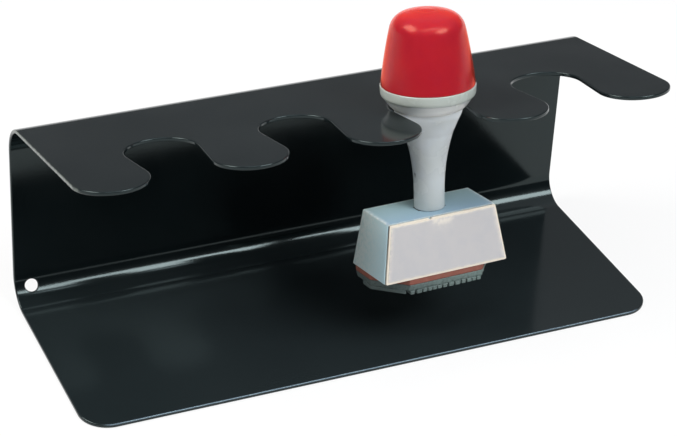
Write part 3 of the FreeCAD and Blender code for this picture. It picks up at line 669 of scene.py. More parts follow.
class BentSheet:
    """The sheet's middle line: along the base, round the lower bend, up the wall, round the upper
    bend and along the shelf.  q is the way along it from the front edge of the base."""

    def __init__(self, rack):
        self.rack = rack
        self.turn = math.pi / 2 - rack.slope
        self.shelf_start = (rack.upper_bend + rack.gauge) * math.tan(self.turn / 2)
        self.lower_radius = rack.lower_bend + rack.gauge / 2
        self.upper_radius = rack.upper_bend + rack.gauge / 2
        self.base_end = rack.depth - rack.gauge - rack.lower_bend
        self.wall_start = self.base_end + self.lower_radius * math.pi / 2
        wall = rack.height - self.shelf_start - rack.gauge - rack.lower_bend
        self.wall_end = self.wall_start + wall
        self.shelf_from = self.wall_end + self.upper_radius * self.turn

    def shelf(self, setback):
        """q of a place on the shelf that is this far from the corner of wall and shelf."""
        return self.shelf_from + setback - self.shelf_start

    def carry(self, flat, height, normals):
        """Carry points (x, q) of the flat sheet, at a height off its middle, round the bends, and
        their normals (along x, along q, off the sheet) with them.

        The line turns left by the angle a1 in the lower bend and a2 in the upper one, so that
        y = run + r1 sin a1 - r2 (1 - cos a2) - u cos b and z = r1 (1 - cos a1) + w + r2 sin a2 +
        u sin b, where w is the way up the wall, u the way along the shelf and b its slope.  A
        point is that place plus the height times the line's left normal.
        """
        x, q = flat.T
        first = np.clip((q - self.base_end) / self.lower_radius, 0, math.pi / 2)
        second = np.clip((q - self.wall_end) / self.upper_radius, 0, self.turn)
        up = np.clip(q - self.wall_start, 0, self.wall_end - self.wall_start)
        out = np.clip(q - self.shelf_from, 0, None)
        y = (-self.rack.depth / 2 + np.minimum(q, self.base_end)
             + self.lower_radius * np.sin(first) - self.upper_radius * (1 - np.cos(second))
             - out * math.sin(self.turn))
        z = (self.rack.gauge / 2 + self.lower_radius * (1 - np.cos(first)) + up
             + self.upper_radius * np.sin(second) + out * math.cos(self.turn))
        heading = first + second
        along = np.stack((0 * x, np.cos(heading), np.sin(heading)), axis=1)
        left = np.stack((0 * x, -np.sin(heading), np.cos(heading)), axis=1)
        return (np.stack((x, y, z), axis=1) + height[:, None] * left,
                normals[:, :1] * (1.0, 0.0, 0.0) + normals[:, 1:2] * along + normals[:, 2:] * left)

    def bend_rows(self, step=3.0):
        """q of the rows that the sheet is folded along, a few degrees of bend apart."""
        bends = ((self.base_end, self.wall_start, 90.0),
                 (self.wall_end, self.shelf_from, math.degrees(self.turn)))
        return np.concatenate([np.linspace(start, end, int(math.ceil(degrees / step)) + 1)
                               for start, end, degrees in bends])


def sheet_outline(rack, sheet, rows):
    """Outline of the flat sheet, counter-clockwise to its left end, with its outward normals.

    It is a chain of arcs that meet the straight runs without a kink: two corners of the base, and
    by turns the round finger ends and the round seats.  The straight run between a finger of
    radius f and a seat of radius s touches both, so it leans by the angle whose cosine is
    (f + s) over the distance of their centres, less the direction of that distance.
    """
    half, finger, pitch = rack.length / 2, finger_radius(rack), slot_pitch(rack)
    tip, seat = sheet.shelf(rack.finger_setback), sheet.shelf(rack.seat_setback)
    lean = abs(math.degrees(
        math.atan2(tip - seat, pitch / 2)
        - math.acos((finger + rack.seat) / math.hypot(pitch / 2, tip - seat))))

    def curve(x, q, radius, start, end, outward=1.0):
        points = arc((x, q), radius, start, end)
        return points, outward * unit(points - (x, q))

    def side(sign, ends):
        return (np.stack((np.full(len(ends), sign * half), ends), axis=1),
                np.tile((sign, 0.0), (len(ends), 1)))

    pieces = [curve(-(half - rack.corner), rack.corner, rack.corner, 180, 270),
              curve(half - rack.corner, rack.corner, rack.corner, 270, 360), side(1.0, rows)]
    for k in range(rack.slots, -1, -1):
        x = -half + finger + k * pitch
        pieces.append(curve(x, tip, finger, 0.0 if k == rack.slots else -lean,
                            180.0 + lean if k else 180.0))
        if k:
            pieces.append(curve(x - pitch / 2, seat, rack.seat, lean, -180.0 - lean, -1.0))
    pieces.append(side(-1.0, rows[::-1]))
    return [np.concatenate(part) for part in zip(*pieces)]


def rim_profile(gauge, rounding, steps=4):
    """The sheet's edge in section, from its upper to its lower face: how far in from the outline,
    the height off the middle, and the normal's parts outwards and upwards."""
    a = np.radians(np.linspace(90, 0, steps + 1))
    upper = np.stack((rounding * (1 - np.cos(a)), gauge / 2 - rounding + rounding * np.sin(a),
                      np.cos(a), np.sin(a)))
    lower = upper[:, ::-1] * ((1,), (-1,), (1,), (-1,))
    return np.concatenate((upper, lower), axis=1)


def inside(points, outline):
    """Which points lie inside a closed outline: an odd count of its sides is to their right."""
    a, b = outline, np.roll(outline, -1, axis=0)
    x, y = points[:, 0, None], points[:, 1, None]
    crosses = (a[:, 1] > y) != (b[:, 1] > y)
    with np.errstate(divide="ignore", invalid="ignore"):
        at = a[:, 0] + (y - a[:, 1]) * (b[:, 0] - a[:, 0]) / (b[:, 1] - a[:, 1])
    return (crosses & (x < at)).sum(axis=1) % 2 == 1


def fill_sheet(outline, hole, extras, row_pairs):
    """Triangles that fill the flat outline, less the hole, kept along the given rows.

    The fill works in millimetres, as its tolerance is a small length.
    """
    points = np.concatenate((outline, hole, extras))
    edges = [(first + i, first + (i + 1) % count)
             for first, count in ((0, len(outline)), (len(outline), len(hole)))
             for i in range(count)]
    found = geometry.delaunay_2d_cdt([Vector(p) for p in (points * 1000).tolist()],
                                     edges + row_pairs, [], 0, 1e-6)
    if len(found[0]) != len(points):
        raise RuntimeError("the sheet's fill added or dropped points")
    number = np.array([origins[0] for origins in found[3]])
    triangles = number[np.array(found[2])]
    middles = points[triangles].mean(axis=1)
    return points, triangles[inside(middles, outline) & ~inside(middles, hole)]


def fold_rows(outline, rows, half, hole_place, clearance, first):
    """Extra points, numbered from the first on, and the pairs of points that the fill keeps joined:
    rows through the bends, broken where they would run into the hole."""
    right = int(np.argmax(np.all(np.isclose(outline, (half, rows[0])), axis=1)))
    extras, pairs = [], []
    for i, row in enumerate(rows):
        ends = len(outline) - 1 - i, right + i
        if abs(row - hole_place[1]) < clearance:
            number = first + len(extras)
            extras += [(hole_place[0] - clearance, row), (hole_place[0] + clearance, row)]
            pairs += [(ends[0], number), (number + 1, ends[1])]
        else:
            pairs.append(ends)
    return np.array(extras), pairs


def sheet_masks(rack, points, normals, rim, line):
    """Masks of painted light: a painted highlight on the rim at the shelf's left end, a painted
    highlight along the upper edge of the base's front, and dust that also stands in for painted
    light: on what faces up, and less on the shelf."""
    x, y, z = points.T
    reach, fade, on_shelf = 0.0012, -0.0008, 0.45
    # Painted highlight on the rim at the shelf's left end.
    left_end = ramp(x, -rack.length / 2 + reach, fade) * (z > rack.height - 0.002)
    # Painted highlight along the upper edge of the base's front.
    front = ramp(y, -rack.depth / 2 + reach, fade) * (z < rack.gauge * 1.1)
    # Dust on what faces up, which also serves as painted light on the base and the shelf.
    dust = ramp(normals[:, 2], 0.5, 0.4) * np.where(z < rack.height / 2, 1.0, on_shelf)
    return {"rim": rim * left_end, "line": line * front, "dust": dust}


def bent_sheet_surface(rack):
    """Points, faces, masks and normals of the bent sheet.

    The rim's section is carried along the outline and round the hole, the two faces are filled
    between the ends of the section, and everything is then carried round the bends.
    """
    sheet = BentSheet(rack)
    rows = sheet.bend_rows()
    outline, outward = sheet_outline(rack, sheet, rows)
    hole_place = np.array((-rack.length / 2 + rack.hole_side,
                           sheet.base_end + sheet.lower_radius * rack.hole_angle))
    hole = arc(hole_place, rack.hole, 360, 0, 10)[:-1]
    outward = np.concatenate((outward, -(hole - hole_place) / rack.hole))
    inset, height, out, up = rim_profile(rack.gauge, rack.rim)
    flat = np.concatenate((outline, hole)) - inset[:, None, None] * outward
    count, total = flat.shape[:2]
    rim_normals = np.concatenate((out[:, None, None] * outward,
                                  np.tile(up[:, None, None], (1, total, 1))), axis=-1)
    points, normals = sheet.carry(flat.reshape(-1, 2), np.repeat(height, total),
                                  rim_normals.reshape(-1, 3))
    starts, edge = np.arange(count) * total, len(outline)
    quads = np.concatenate((ring_faces(starts, edge), ring_faces(starts + edge, len(hole))))
    faces = quads[:, [0, 3, 2, 1]].tolist()

    extras, pairs = fold_rows(outline, rows, rack.length / 2, hole_place, rack.hole + 0.0012, total)
    filled, triangles = fill_sheet(flat[0, :edge], flat[0, edge:], extras, pairs)
    corner, second, third = (filled[triangles[:, i]] for i in range(3))
    area = np.cross(second - corner, third - corner)
    # counter-clockwise triangles face up the sheet's left normal, and the lower face turns over
    for side, row in ((1, 0), (-1, count - 1)):
        numbers = np.where(triangles < total, triangles + row * total,
                           triangles - total + len(points))
        faces += np.where((area * side > 0)[:, None], numbers, numbers[:, ::-1]).tolist()
        level_off = np.full(len(extras), side * rack.gauge / 2)
        upright = np.tile((0.0, 0.0, side), (len(extras), 1))
        more, more_normals = sheet.carry(filled[total:], level_off, upright)
        points, normals = np.concatenate((points, more)), np.concatenate((normals, more_normals))

    # rim marks the rim's section; line peaks on its upper rounding and carries the painted
    # highlight on the base's front.
    rim, line = (np.append(np.repeat(share, total), np.zeros(2 * len(extras)))
                 for share in (out, 2 * out * np.clip(up, 0, None)))
    return points, faces, sheet_masks(rack, points, normals, rim, line), normals


class RACK_OT_bend_sheet(bpy.types.Operator):
    """Bend the slotted rack from one enamelled sheet"""
    bl_idname = "stamp_rack.bend_sheet"
    bl_label = "Bend the Sheet"

    def execute(self, context):
        settings = context.scene.stamp_rack
        *surface, normals = bent_sheet_surface(settings.rack)
        add_piece("bent_sheet", surface, enamel_finish(settings.finish), "rack", "rack_sheet",
                  normals)
        return {"FINISHED"}


# ---- The stem and the cap

# From the neck to the collar's rim: steps (out, up) from the neck's radius at the shelf's top face,
# and then from the collar's radius there.
NECK_CURVE = ((-0.00260, -0.0070), (-0.00170, -0.0048), (-0.00080, -0.0029), (-0.00030, -0.0016),
              (0.00002, 0.0))
COLLAR_CURVE = ((-0.00420, 0.0004), (-0.00345, 0.0010), (-0.00275, 0.0018), (-0.00200, 0.0029),
                (-0.00130, 0.0040), (-0.00098, 0.0045), (-0.00062, 0.0047), (-0.00030, 0.0051),
                (-0.00008, 0.0058), (0.0, 0.0072))
CURVE_REACH = 0.009          # shelf's top face down to where that curve takes over
SPIGOT, SPIGOT_REACH = 0.0042, 0.0130
HEAD, HEAD_TOP, HEAD_HEIGHT = 0.0151, 0.0136, 0.009
HOLLOW, HOLLOW_DEPTH = 0.0116, 0.013
PARTING_HEIGHT = 0.00007
NICK_HEIGHT, NICK_DEPTH, NECK_AT_NICK = -0.0247, 0.00022, 0.0058


def stem_path(stamp):
    """Section of the stem from its lower end on the axis to the bottom of its hollow.

    The trumpet neck is an arc that leaves the shank without a kink and would reach the neck radius
    at the shelf: r = shank + R - sqrt(R^2 - t^2), with t up from the shank and
    R = (reach^2 + flare^2) / (2 flare).  Near the shelf a smooth curve takes over.  It passes the
    shelf at the neck radius, and then widens into the collar's rim.
    """
    shank, reach, flare = stamp.shank, stamp.neck_reach, stamp.neck - stamp.shank
    radius = (reach ** 2 + flare ** 2) / (2 * flare)
    t = np.linspace(0.0, reach - CURVE_REACH, 28)
    neck = np.stack((shank + radius - np.sqrt(radius ** 2 - t ** 2), t - reach), axis=1)
    foot, top, collar = -stamp.shank_reach, stamp.collar_top, stamp.collar
    neck = np.concatenate((neck[:-2], smooth_through(
        [*neck[-2:], *((stamp.neck + out, up) for out, up in NECK_CURVE),
         *((collar + out, up) for out, up in COLLAR_CURVE)])))
    bottom = rounded_path((
        (0.0, foot - SPIGOT_REACH, 0), (SPIGOT, foot - SPIGOT_REACH, 0.0006),
        (SPIGOT, foot + 0.0001, 0), (shank, foot + 0.0001, 0.00035), (shank, neck[0, 1], 0)))[:-1]
    side = np.linspace(foot + 0.0010, -reach - 0.0008, 5)
    upper = rounded_path((
        (*neck[-1], 0), (collar, top - 0.0006, 0), (collar, top, 0.00035), (HEAD, top, 0.0002),
        (HEAD_TOP, top + HEAD_HEIGHT, 0.0004), (HOLLOW, top + HEAD_HEIGHT, 0.0003),
        (HOLLOW, top, 0.0002), (0.0, top - HOLLOW_DEPTH, 0)))[1:]
    return np.concatenate((bottom, np.stack((np.full(5, shank), side), axis=1), neck, upper))


def stem_surface(stamp):
    """The turned stem with the moulding's parting line along its two sides and a nick in one.

    Each ring's radius is r + h exp(-(w / b)^2), where w is the way round from the parting line.
    The masks are the nick, the collar's rim, which takes painted shade under the cap, the run into
    the collar, which takes painted light, and the shank's foot, which is darker.
    """
    path, width = stem_path(stamp), math.radians(1.4)
    base, lines = even_angles(144), np.array((0.0, math.pi))
    off_lines = np.abs((base[:, None] - lines + math.pi) % (2 * math.pi) - math.pi).min(axis=1)
    fine = (lines[:, None] + np.linspace(-5, 5, 21) * width).ravel()
    angles = np.concatenate((base[off_lines > 5.5 * width], fine)) % (2 * math.pi)
    angles = np.unique(np.round(angles, 7))
    loops = turned_loops(path[1:-1], angles)
    s, radius = loops[..., 2], np.hypot(loops[..., 0], loops[..., 1])
    seen = (s > -stamp.shank_reach + 0.0006) & (s < stamp.collar_top - 0.0006)
    ridge = PARTING_HEIGHT * bell((angles + math.pi / 2) % math.pi - math.pi / 2, width) * seen
    off_nick = np.abs((angles + 0.2) % (2 * math.pi) - math.pi - 0.2) * NECK_AT_NICK
    nick = bell(off_nick, 0.00055) * bell(s - NICK_HEIGHT, 0.0007)
    loops[..., :2] *= ((radius + ridge - NICK_DEPTH * nick) / radius)[..., None]
    masks = {"nick": nick,
             # The collar's rim, darker; it reaches the collar's top edge, where it is painted shade
             # under the cap.
             "band": ramp(s, 0.0046, 0.0005) * (s < stamp.collar_top + 0.0001) * (radius > 0.0160),
             # Painted light on the underside of the collar, brightest just above the shelf's top
             # face.
             "under": (ramp(s, -0.0002, 0.0006) * ramp(s, 0.0050, -0.0006)
                       * (0.5 + 0.5 * bell(s - 0.0007, 0.0016))),
             "foot": ramp(s, -0.0260, -0.0100) * (s > -stamp.shank_reach)}
    points, faces = closed_surface(loops, path[[0, -1], 1])
    return points, faces, {name: np.append(mask, (0.0, 0.0)) for name, mask in masks.items()}


def cap_path(stamp):
    """Section of the cap from the roof of its hollow to its apex.

    The crown is an arc through the apex, the side a line with a slight bulge 4 b t (1 - t), and
    the shoulder the arc that touches both: its centre is the shoulder radius inside the side and
    the crown's radius less the shoulder's from the crown's centre.  The crown has a shallow ring
    and a low pip where the mould was filled.
    """
    bulge, ring, pip, roof = 0.00025, 0.00010, 0.00006, 0.0311
    foot = np.array((stamp.cap, stamp.collar_top))
    apex = stamp.collar_top + stamp.cap_height
    corner = np.array((stamp.cap_top, apex - stamp.crown))
    crown_radius = (stamp.cap_top ** 2 + stamp.crown ** 2) / (2 * stamp.crown)
    crown_centre = np.array((0.0, apex - crown_radius))
    along = (corner - foot) / np.linalg.norm(corner - foot)
    outward = np.array((along[1], -along[0]))
    start = foot - stamp.shoulder * outward
    b = (start - crown_centre) @ along
    c = (start - crown_centre) @ (start - crown_centre) - (crown_radius - stamp.shoulder) ** 2
    reach = -b + math.sqrt(b * b - c)
    centre = start + along * reach
    t = np.linspace(0.04, 1.0, 24)
    side = foot + along * (t * reach)[:, None] + outward * (4 * bulge * t * (1 - t))[:, None]
    first, last = (math.degrees(math.atan2(*way[::-1])) for way in (outward, centre - crown_centre))
    shoulder = arc(centre, stamp.shoulder, first, last, 2.5)[1:]
    crown = arc(crown_centre, crown_radius, last, 90.0, 0.9)[1:-1]
    r = crown[:, 0]
    crown[:, 1] -= ring * bell(r - 0.0030, 0.0007) - pip * bell(r, 0.0012)
    inner = rounded_path((
        (0.0, roof, 0), (0.0097, roof, 0.0006), (0.0116, 0.0293, 0.0008),
        (0.01512, foot[1], 0.00025), (*foot, 0.00035), (*side[3], 0)))[:-1]
    return np.concatenate((inner, side, shoulder, crown, ((0.0, apex + pip),)))


def cap_surface(stamp):
    """The turned cap, with a mask of its side that fades out below the shoulder."""
    path = cap_path(stamp)
    loops = turned_loops(path[1:-1], even_angles(160))
    points, faces = closed_surface(loops, path[[0, -1], 1])
    share = (points[:, 2] - stamp.collar_top) / stamp.cap_height
    return points, faces, {"side": ramp(share, 0.85, -0.15)}


class RACK_OT_turn_stem(bpy.types.Operator):
    """Turn the stem with its trumpet neck and collar"""
    bl_idname = "stamp_rack.turn_stem"
    bl_label = "Turn the Stem"

    def execute(self, context):
        return make_stamp_pieces(context, ("turned_stem", stem_surface, stem_finish, "stem"))


class RACK_OT_mould_cap(bpy.types.Operator):
    """Mould the hollow red cap"""
    bl_idname = "stamp_rack.mould_cap"
    bl_label = "Mould the Cap"

    def execute(self, context):
        return make_stamp_pieces(context, ("moulded_cap", cap_surface, cap_finish, "knob_cap"))


# ---- The block and its label

# From the block's top face into the bore and down it, as radius and height off the top.
BORE_STEPS = ((0.0085, 0.0), (0.0062, 0.0), (0.00598, 0.0), (0.0044, 0.0), (0.00425, -0.00015),
              (0.00425, -0.01305))
PAINTED_SHADOW_REACH = 0.0061                     # how far out the painted contact shadow round the stem goes
NOTCH, NOTCH_PLACE = 0.0006, -0.0052    # radius of the plate's notch, and its place along the top


def block_surface(stamp, edge=0.00045, gap=0.00101):
    """The tapered block: rounded rectangles stacked up its height, then in over its top to the
    bore and down it.  Near its foot and top a loop is drawn in by e (1 - sin a) at a height of
    e (1 - cos a), which rounds those edges.  The gap keeps its front behind the plate."""
    foot = -stamp.shank_reach - stamp.block_height
    top = foot + stamp.block_height
    low = np.array((stamp.block_bottom, stamp.block_bottom_depth))
    high = np.array((stamp.block_top, stamp.block_top_depth))
    a = np.radians(np.linspace(0, 90, 5))
    inset, rise = edge * (1 - np.sin(a)), edge * (1 - np.cos(a))
    heights = np.concatenate((rise, np.linspace(0.15, 0.85, 5) * stamp.block_height,
                              stamp.block_height - rise[::-1]))
    loops, rims = [], []
    for height, shrink in zip(heights, np.concatenate((inset, np.zeros(5), inset[::-1]))):
        half = (low + height / stamp.block_height * (high - low)) / 2
        flat = box_loop((-half[0] + shrink, -half[1] + gap), half - shrink,
                        max(edge * 1.2 - shrink * 0.8, 0.0001))
        loops.append(at_height(flat, foot + height))
        corner = np.abs(np.abs(flat) - half + shrink).sum(axis=1)
        rims.append(np.where((shrink > 0) | (corner < edge * 2), 1.0, 0.0))
    loops.append(loops[-1] * (0.94, 0.90, 1.0))
    circle = unit(loops[-1][:, :2])
    loops += [at_height(circle * radius, top + height) for radius, height in BORE_STEPS]
    points, faces = closed_surface(np.array(loops))
    flat_top = np.zeros(len(points) - len(circle) * len(rims))
    z, painted_contact_shadow = points[:, 2], np.hypot(points[:, 0], points[:, 1]) < PAINTED_SHADOW_REACH
    # Masks: rim for the painted highlight on the edges, top and back for painted shade, and the
    # painted contact shadow round the stem.
    return points, faces, {"rim": np.append(rims, flat_top), "top": ramp(z, top - edge, edge),
                           "back": ramp(points[:, 1], -high[1] / 2, high[1]),
                           "painted_contact_shadow": painted_contact_shadow * (z > top - 0.001) * 1.0}


class LabelFace:
    """The block's sloping front face: a runs along it, b up it and d outwards."""

    def __init__(self, stamp):
        step_back = (stamp.block_bottom_depth - stamp.block_top_depth) / 2
        self.tilt = math.atan2(step_back, stamp.block_height)
        self.height = stamp.block_height / math.cos(self.tilt)
        self.slant = (stamp.block_bottom - stamp.block_top) / 2 / self.height
        self.low = stamp.block_bottom / 2
        self.foot = np.array((0.0, -stamp.block_bottom_depth / 2,
                              -stamp.shank_reach - stamp.block_height))

    def trapezium(self, low_inset, top_inset, side_inset, corner, notch=0.0):
        """Outline on the face, drawn in from its foot, top and sides, with a round notch or not."""
        side = side_inset * math.hypot(1, self.slant)
        low_x = self.low - self.slant * low_inset - side
        top = self.height - top_inset
        top_x = self.low - self.slant * top - side
        bite = arc((NOTCH_PLACE, top + 0.0001), notch, -8, -172, 16) if notch else ()
        return rounded_path([(-low_x, low_inset, corner), (low_x, low_inset, corner),
                             (top_x, top, corner), *((x, y, 0.0) for x, y in bite),
                             (-top_x, top, corner)], closed=True)

    def surface(self, rings, heights):
        """Closed surface through rings of points (a, b), each at its distance d off the face."""
        up = np.array((0.0, math.sin(self.tilt), math.cos(self.tilt)))
        outward = np.array((0.0, -math.cos(self.tilt), math.sin(self.tilt)))
        loops = [self.foot + ring[:, :1] * (1.0, 0.0, 0.0) + ring[:, 1:] * up + height * outward
                 for ring, height in zip(rings, heights)]
        return closed_surface(np.array(loops))


def plate_surface(stamp, soft=0.00012):
    """The plate with softened edges, its back sunk in the block, and a mask of what shows brown:
    painted shadow along its left edge, fading lower down, and the notch."""
    face, left_edge, notch_reach = LabelFace(stamp), -0.0215, 0.0009
    outline = finely(face.trapezium(0.00008, 0.00012, 0.00030, 0.0005, NOTCH), 0.00015)
    rings = [shrunk(outline, inset) for inset in (0.0, 0.0, soft * 0.3, soft)]
    points, faces = face.surface(rings, (-0.00100, -soft, -soft * 0.3, 0.0))
    a, b = outline.T
    # Painted shadow in brown along the plate's left edge, fading lower down; brown at the notch.
    brown = np.where(a < left_edge, np.clip(b / face.height, 0.3, 1.0), 0.0)
    brown = np.where(np.hypot(a - NOTCH_PLACE, b - face.height) < notch_reach, 0.35, brown)
    return points, faces, {"rim": np.outer((1.0, 1.0, 0.5, 0.0), brown).ravel()}


def paper_surface(stamp):
    """The paper with an uneven outline, and a mask of its paler border and the painted glare patch
    at the notch.

    Its rings are the outline's shares about the middle of the face, the first two its edge.
    """
    face = LabelFace(stamp)
    shares = np.array((1.0, 1.0, 0.997, 0.96, 0.92, 0.88, 0.84, 0.80, 0.76, 0.70, 0.35))
    heights = np.full(len(shares), 0.00016)
    heights[:2] = 0.00001, 0.00012
    outline = finely(face.trapezium(0.00075, 0.00085, 0.00085, 0.0003), 0.0005)
    outline = shrunk(outline, ripple(at_height(outline, 0.0), 0.00012, 0.011)[:, None] + 0.0001)
    middle = np.array((0.0, face.height / 2))
    rings = middle + (outline - middle) * shares[:, None, None]
    points, faces = face.surface(rings, heights)
    # Painted glare: a paler patch by the notch; the paper's border paler too.
    patch = bell(rings[..., 0] + 0.0004, 0.0044, 4) * bell(rings[..., 1] - face.height, 0.0034, 4)
    border = np.select((shares > 0.99, shares > 0.95), (0.7, 0.25))
    return points, faces, {"lightened": np.maximum(patch, border[:, None]).ravel()}


class RACK_OT_cast_block(bpy.types.Operator):
    """Make the tapered block that the label and the rubber are fixed to"""
    bl_idname = "stamp_rack.cast_block"
    bl_label = "Cast the Block"

    def execute(self, context):
        return make_stamp_pieces(
            context, ("mounting_block", block_surface, block_finish, "mount_block"))


class RACK_OT_fix_label(bpy.types.Operator):
    """Lay the cream plate and its blank paper on the block's front"""
    bl_idname = "stamp_rack.fix_label"
    bl_label = "Fix the Label"

    def execute(self, context):
        return make_stamp_pieces(
            context, ("edged_plate", plate_surface, plate_finish, "label_plate"),
            ("blank_label", paper_surface, paper_finish, "label_paper"))


# ---- The rubber layers

LAYER_X, LAYER_Y = 0.0250, 0.01245      # half the length and depth of the printing layers
OVERLAP = 0.0001                        # how far the raised print reaches into the die's sheet


def trimmed_outline():
    """Rectangle of the printing layers with its corners cut off, more at the front."""
    x, y = LAYER_X, LAYER_Y
    right = ((x - 0.0100, -y), (x, -y + 0.0123), (x, y - 0.0016), (x - 0.0018, y))
    left = tuple((-px, py) for px, py in reversed(right))
    return finely(rounded_path([(*place, 0.0004) for place in right + left], closed=True, steps=3))


def knife_cut_slab(outline, top, thickness, roughness, scale, seed, levels=9, comb=0.0):
    """Slab whose sides were cut by hand: each side point moves in or out by a fixed unevenness,
    and by upright grooves that deepen towards the foot."""
    loops = []
    for share in np.linspace(0, 1, levels):
        place = at_height(outline, share * thickness)
        edge = 0.00015 * (2 * abs(share - 0.5)) ** 8
        grooves = comb * share * (1 + ripple(place * (1, 1, 0), 1.0, 0.0021, seed))
        inset = roughness + ripple(place, roughness, scale, seed) + edge + grooves
        loops.append(at_height(shrunk(outline, inset[:, None]), top - share * thickness))
    return closed_surface(np.array(loops))


def raised_bars(sheet_bottom, relief, columns=13, rows=4, pitch=0.0023, row_pitch=0.0056):
    """Rows of plain raised bars, each a frustum whose length, width and lean vary a little."""
    margin, half_depth = 0.0005, 0.0016
    for row, column in np.ndindex(rows, columns):
        x = (column - (columns - 1) / 2) * pitch
        y = -LAYER_Y + margin + half_depth + row * row_pitch
        vary = ripple(np.array(((x * 3, y, row * 0.01),)), 1.0, 0.004, column)[0]
        half = np.array((0.00085 + 0.00030 * vary, 0.0017 + 0.0002 * vary))
        middle = np.array((x + 0.00045 * math.sin(7.1 * column + 3.3 * row), y))
        loops = []
        for share, grow in ((0.0, 0.00022), (0.35, 0.00006), (0.9, 0.0), (1.0, -0.00010)):
            flat = box_loop(middle - half - grow, middle + half + grow, 0.0002, 2)
            loops.append(at_height(flat + (0.0001 * vary * share, 0),
                                   sheet_bottom + OVERLAP - share * (relief + OVERLAP)))
        yield closed_surface(np.array(loops))


def cushion_surface(stamp):
    top = -stamp.shank_reach - stamp.block_height
    return *knife_cut_slab(trimmed_outline(), top, stamp.cushion, 0.00008, 0.006, 0.0), {}


def die_surface(stamp):
    """The die's sheet, its bars, and the solid part of the print along the cut front corner and up
    the left side, with a mask of painted shade that darkens it towards the left."""
    top = -stamp.shank_reach - stamp.block_height - stamp.cushion
    bottom = top - stamp.die
    solid = finely(rounded_path((
        (-0.0247, 0.0002, 0.0003), (-0.0156, -0.0112, 0.0003), (-0.0156, 0.0060, 0.0003),
        (-0.0247, 0.0060, 0.0003)), closed=True, steps=3))
    points, faces = joined([
        knife_cut_slab(trimmed_outline(), top, stamp.die, 0.00016, 0.0045, 2.0, comb=0.00034),
        *raised_bars(bottom, stamp.relief),
        knife_cut_slab(solid, bottom + OVERLAP, stamp.relief + OVERLAP, 0.00010, 0.004, 5.0, 7)])
    return points, faces, {"painted_shade_left": ramp(points[:, 0], 0.0080, -0.0300)}


class RACK_OT_cut_rubber(bpy.types.Operator):
    """Cut the cushion and the printing die from sheet rubber"""
    bl_idname = "stamp_rack.cut_rubber"
    bl_label = "Cut the Rubber"

    def execute(self, context):
        return make_stamp_pieces(
            context, ("cushion_rubber", cushion_surface, cushion_finish, "cushion"),
            ("die_rubber", die_surface, die_finish, "printing_die"))


# ---- The stage

FLOOR_REACH, FLOOR_HEIGHT = 14.0, -0.0002
LIGHT_DISTANCE, LIGHT_AIM = 1.1, (0.0, 0.0, 0.05)


def floor_material():
    """Pale floor: white to the camera, in gloss and through glass, with the object's shadow."""
    material = bpy.data.materials.new("pale floor")
    material.use_nodes = True
    nodes = Nodes(material.node_tree)
    nodes.tree.nodes.clear()
    path = nodes.add("ShaderNodeLightPath").outputs
    seen = path["Is Camera Ray"]
    for other in ("Is Glossy Ray", "Is Transmission Ray"):
        seen = nodes.math("MAXIMUM", seen, path[other])
    tone = nodes.mixed(seen, (0.42, 0.42, 0.42, 1.0), (0.90, 0.90, 0.90, 1.0))
    surface = nodes.add("ShaderNodeBsdfDiffuse", (("Color", tone),))
    white = nodes.add("ShaderNodeEmission", (("Color", (1.0, 1.0, 1.0, 1.0)), ("Strength", 1.0)))
    mix = nodes.add("ShaderNodeMixShader", (
        (0, nodes.math("MULTIPLY", seen, 0.84)), (1, surface.outputs["BSDF"]),
        (2, white.outputs["Emission"])))
    nodes.add("ShaderNodeOutputMaterial", (("Surface", mix.outputs["Shader"]),))
    return material


def soft_light(name, bearing, height, size, power, tint):
    """Area light seen from the object at a bearing (0 is the front, + towards +X) and height."""
    data = bpy.data.lights.new(name, "AREA")
    data.shape, data.size, data.size_y = "RECTANGLE", *size
    data.energy, data.color = power, tint
    light = bpy.data.objects.new(name, data)
    bearing, height = math.radians(bearing), math.radians(height)
    way = Vector((math.sin(bearing) * math.cos(height), -math.cos(bearing) * math.cos(height),
                  math.sin(height)))
    light.location = Vector(LIGHT_AIM) + way * LIGHT_DISTANCE
    light.rotation_euler = way.to_track_quat("Z", "Y").to_euler()
    light.visible_camera = False
    bpy.context.scene.collection.objects.link(light)


def soft_room(studio):
    """Surroundings that brighten towards the zenith, and a little behind the rack."""
    world = bpy.data.worlds.new("soft room")
    world.use_nodes = True
    nodes = Nodes(world.node_tree)
    direction = nodes.add("ShaderNodeTexCoord").outputs["Generated"]
    parts = nodes.add("ShaderNodeSeparateXYZ", (("Vector", direction),)).outputs
    above = nodes.ranged(parts["Z"], 0.30, 0.90, studio.low_sky, studio.high_sky)
    behind = nodes.ranged(parts["Y"], 0.0, 0.9, 0.0, studio.back_sky)
    background = nodes.tree.nodes["Background"]
    background.inputs["Color"].default_value = (0.98, 0.965, 1.0, 1.0)
    nodes.tree.links.new(nodes.math("ADD", above, behind), background.inputs["Strength"])
    return world


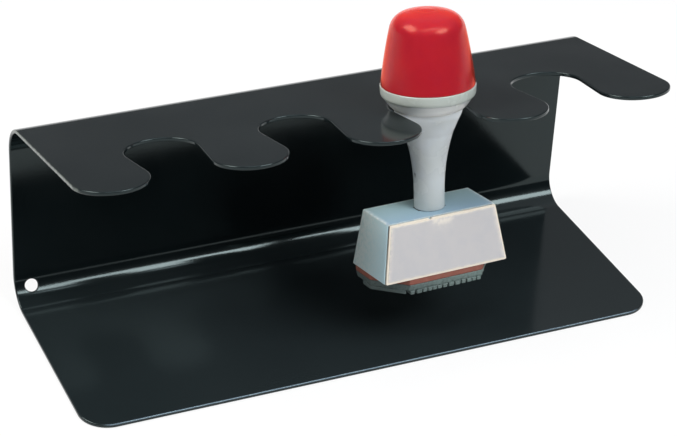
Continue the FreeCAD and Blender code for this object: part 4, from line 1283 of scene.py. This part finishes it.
class RACK_OT_set_stage(bpy.types.Operator):
    """Set the floor, the soft lights, the surroundings and the camera"""
    bl_idname = "stamp_rack.set_stage"
    bl_label = "Set the Stage"

    def execute(self, context):
        scene, studio = context.scene, context.scene.stamp_rack.studio
        mesh = bpy.data.meshes.new("floor")
        mesh.from_pydata([(x * FLOOR_REACH, y * FLOOR_REACH, FLOOR_HEIGHT)
                          for x, y in ((-1, -1), (1, -1), (1, 1), (-1, 1))], [], [(0, 1, 2, 3)])
        mesh.materials.append(floor_material())
        floor = bpy.data.objects.new("floor", mesh)
        scene.collection.objects.link(floor)

        soft_light("key light", 33.0, 46.0, (0.62, 0.31), studio.key, (0.95, 0.98, 1.0))
        soft_light("side light", -105.0, 47.0, (0.74, 0.44), studio.side, (1.0, 0.99, 0.94))
        soft_light("top light", 0.0, 68.0, (1.00, 0.26), studio.top, (0.86, 0.95, 1.0))
        scene.world = soft_room(studio)

        data = bpy.data.cameras.new("camera")
        data.sensor_fit, data.sensor_width, data.lens = "HORIZONTAL", 36.0, studio.lens
        data.clip_start, data.clip_end = 0.01, 60.0
        camera = bpy.data.objects.new("camera", data)
        turn = (Matrix.Rotation(-studio.pan, 3, "Z")
                @ Matrix.Rotation(math.pi / 2 - studio.tilt, 3, "X")
                @ Matrix.Rotation(-studio.roll, 3, "Z"))
        camera.matrix_world = Matrix.Translation(studio.camera_place) @ turn.to_4x4()
        scene.collection.objects.link(camera)
        scene.camera = camera
        scene.view_settings.view_transform = "Standard"
        return {"FINISHED"}


class RACK_PT_sidebar(bpy.types.Panel):
    """Steps and settings of the stamp rack"""
    bl_idname = "RACK_PT_sidebar"
    bl_label = "Stamp Rack"
    bl_space_type = "VIEW_3D"
    bl_region_type = "UI"
    bl_category = "Stamp Rack"

    def draw(self, context):
        settings = context.scene.stamp_rack
        steps = self.layout.column(align=True)
        for operator in OPERATORS:
            steps.operator(operator.bl_idname)
        for title, group in (("Rack", settings.rack), ("Stamp", settings.stamp),
                             ("Colours", settings.finish), ("Studio", settings.studio)):
            box = self.layout.box()
            box.label(text=title)
            for name in group.__annotations__:
                box.prop(group, name)


OPERATORS = (RACK_OT_bend_sheet, RACK_OT_turn_stem, RACK_OT_mould_cap, RACK_OT_cast_block,
             RACK_OT_fix_label, RACK_OT_cut_rubber, RACK_OT_set_stage)
CLASSES = (RackSizes, StampSizes, FinishColours, StudioSettings, StampRackSettings, *OPERATORS,
           RACK_PT_sidebar)


def register():
    for made_class in CLASSES:
        bpy.utils.register_class(made_class)
    bpy.types.Scene.stamp_rack = PointerProperty(type=StampRackSettings)


def unregister():
    del bpy.types.Scene.stamp_rack
    for made_class in reversed(CLASSES):
        bpy.utils.unregister_class(made_class)


def main():
    """Register the classes, and make every piece and the stage."""
    register()
    bpy.ops.stamp_rack.bend_sheet()
    bpy.ops.stamp_rack.turn_stem()
    bpy.ops.stamp_rack.mould_cap()
    bpy.ops.stamp_rack.cast_block()
    bpy.ops.stamp_rack.fix_label()
    bpy.ops.stamp_rack.cut_rubber()
    bpy.ops.stamp_rack.set_stage()


if __name__ == "__main__":
    main()
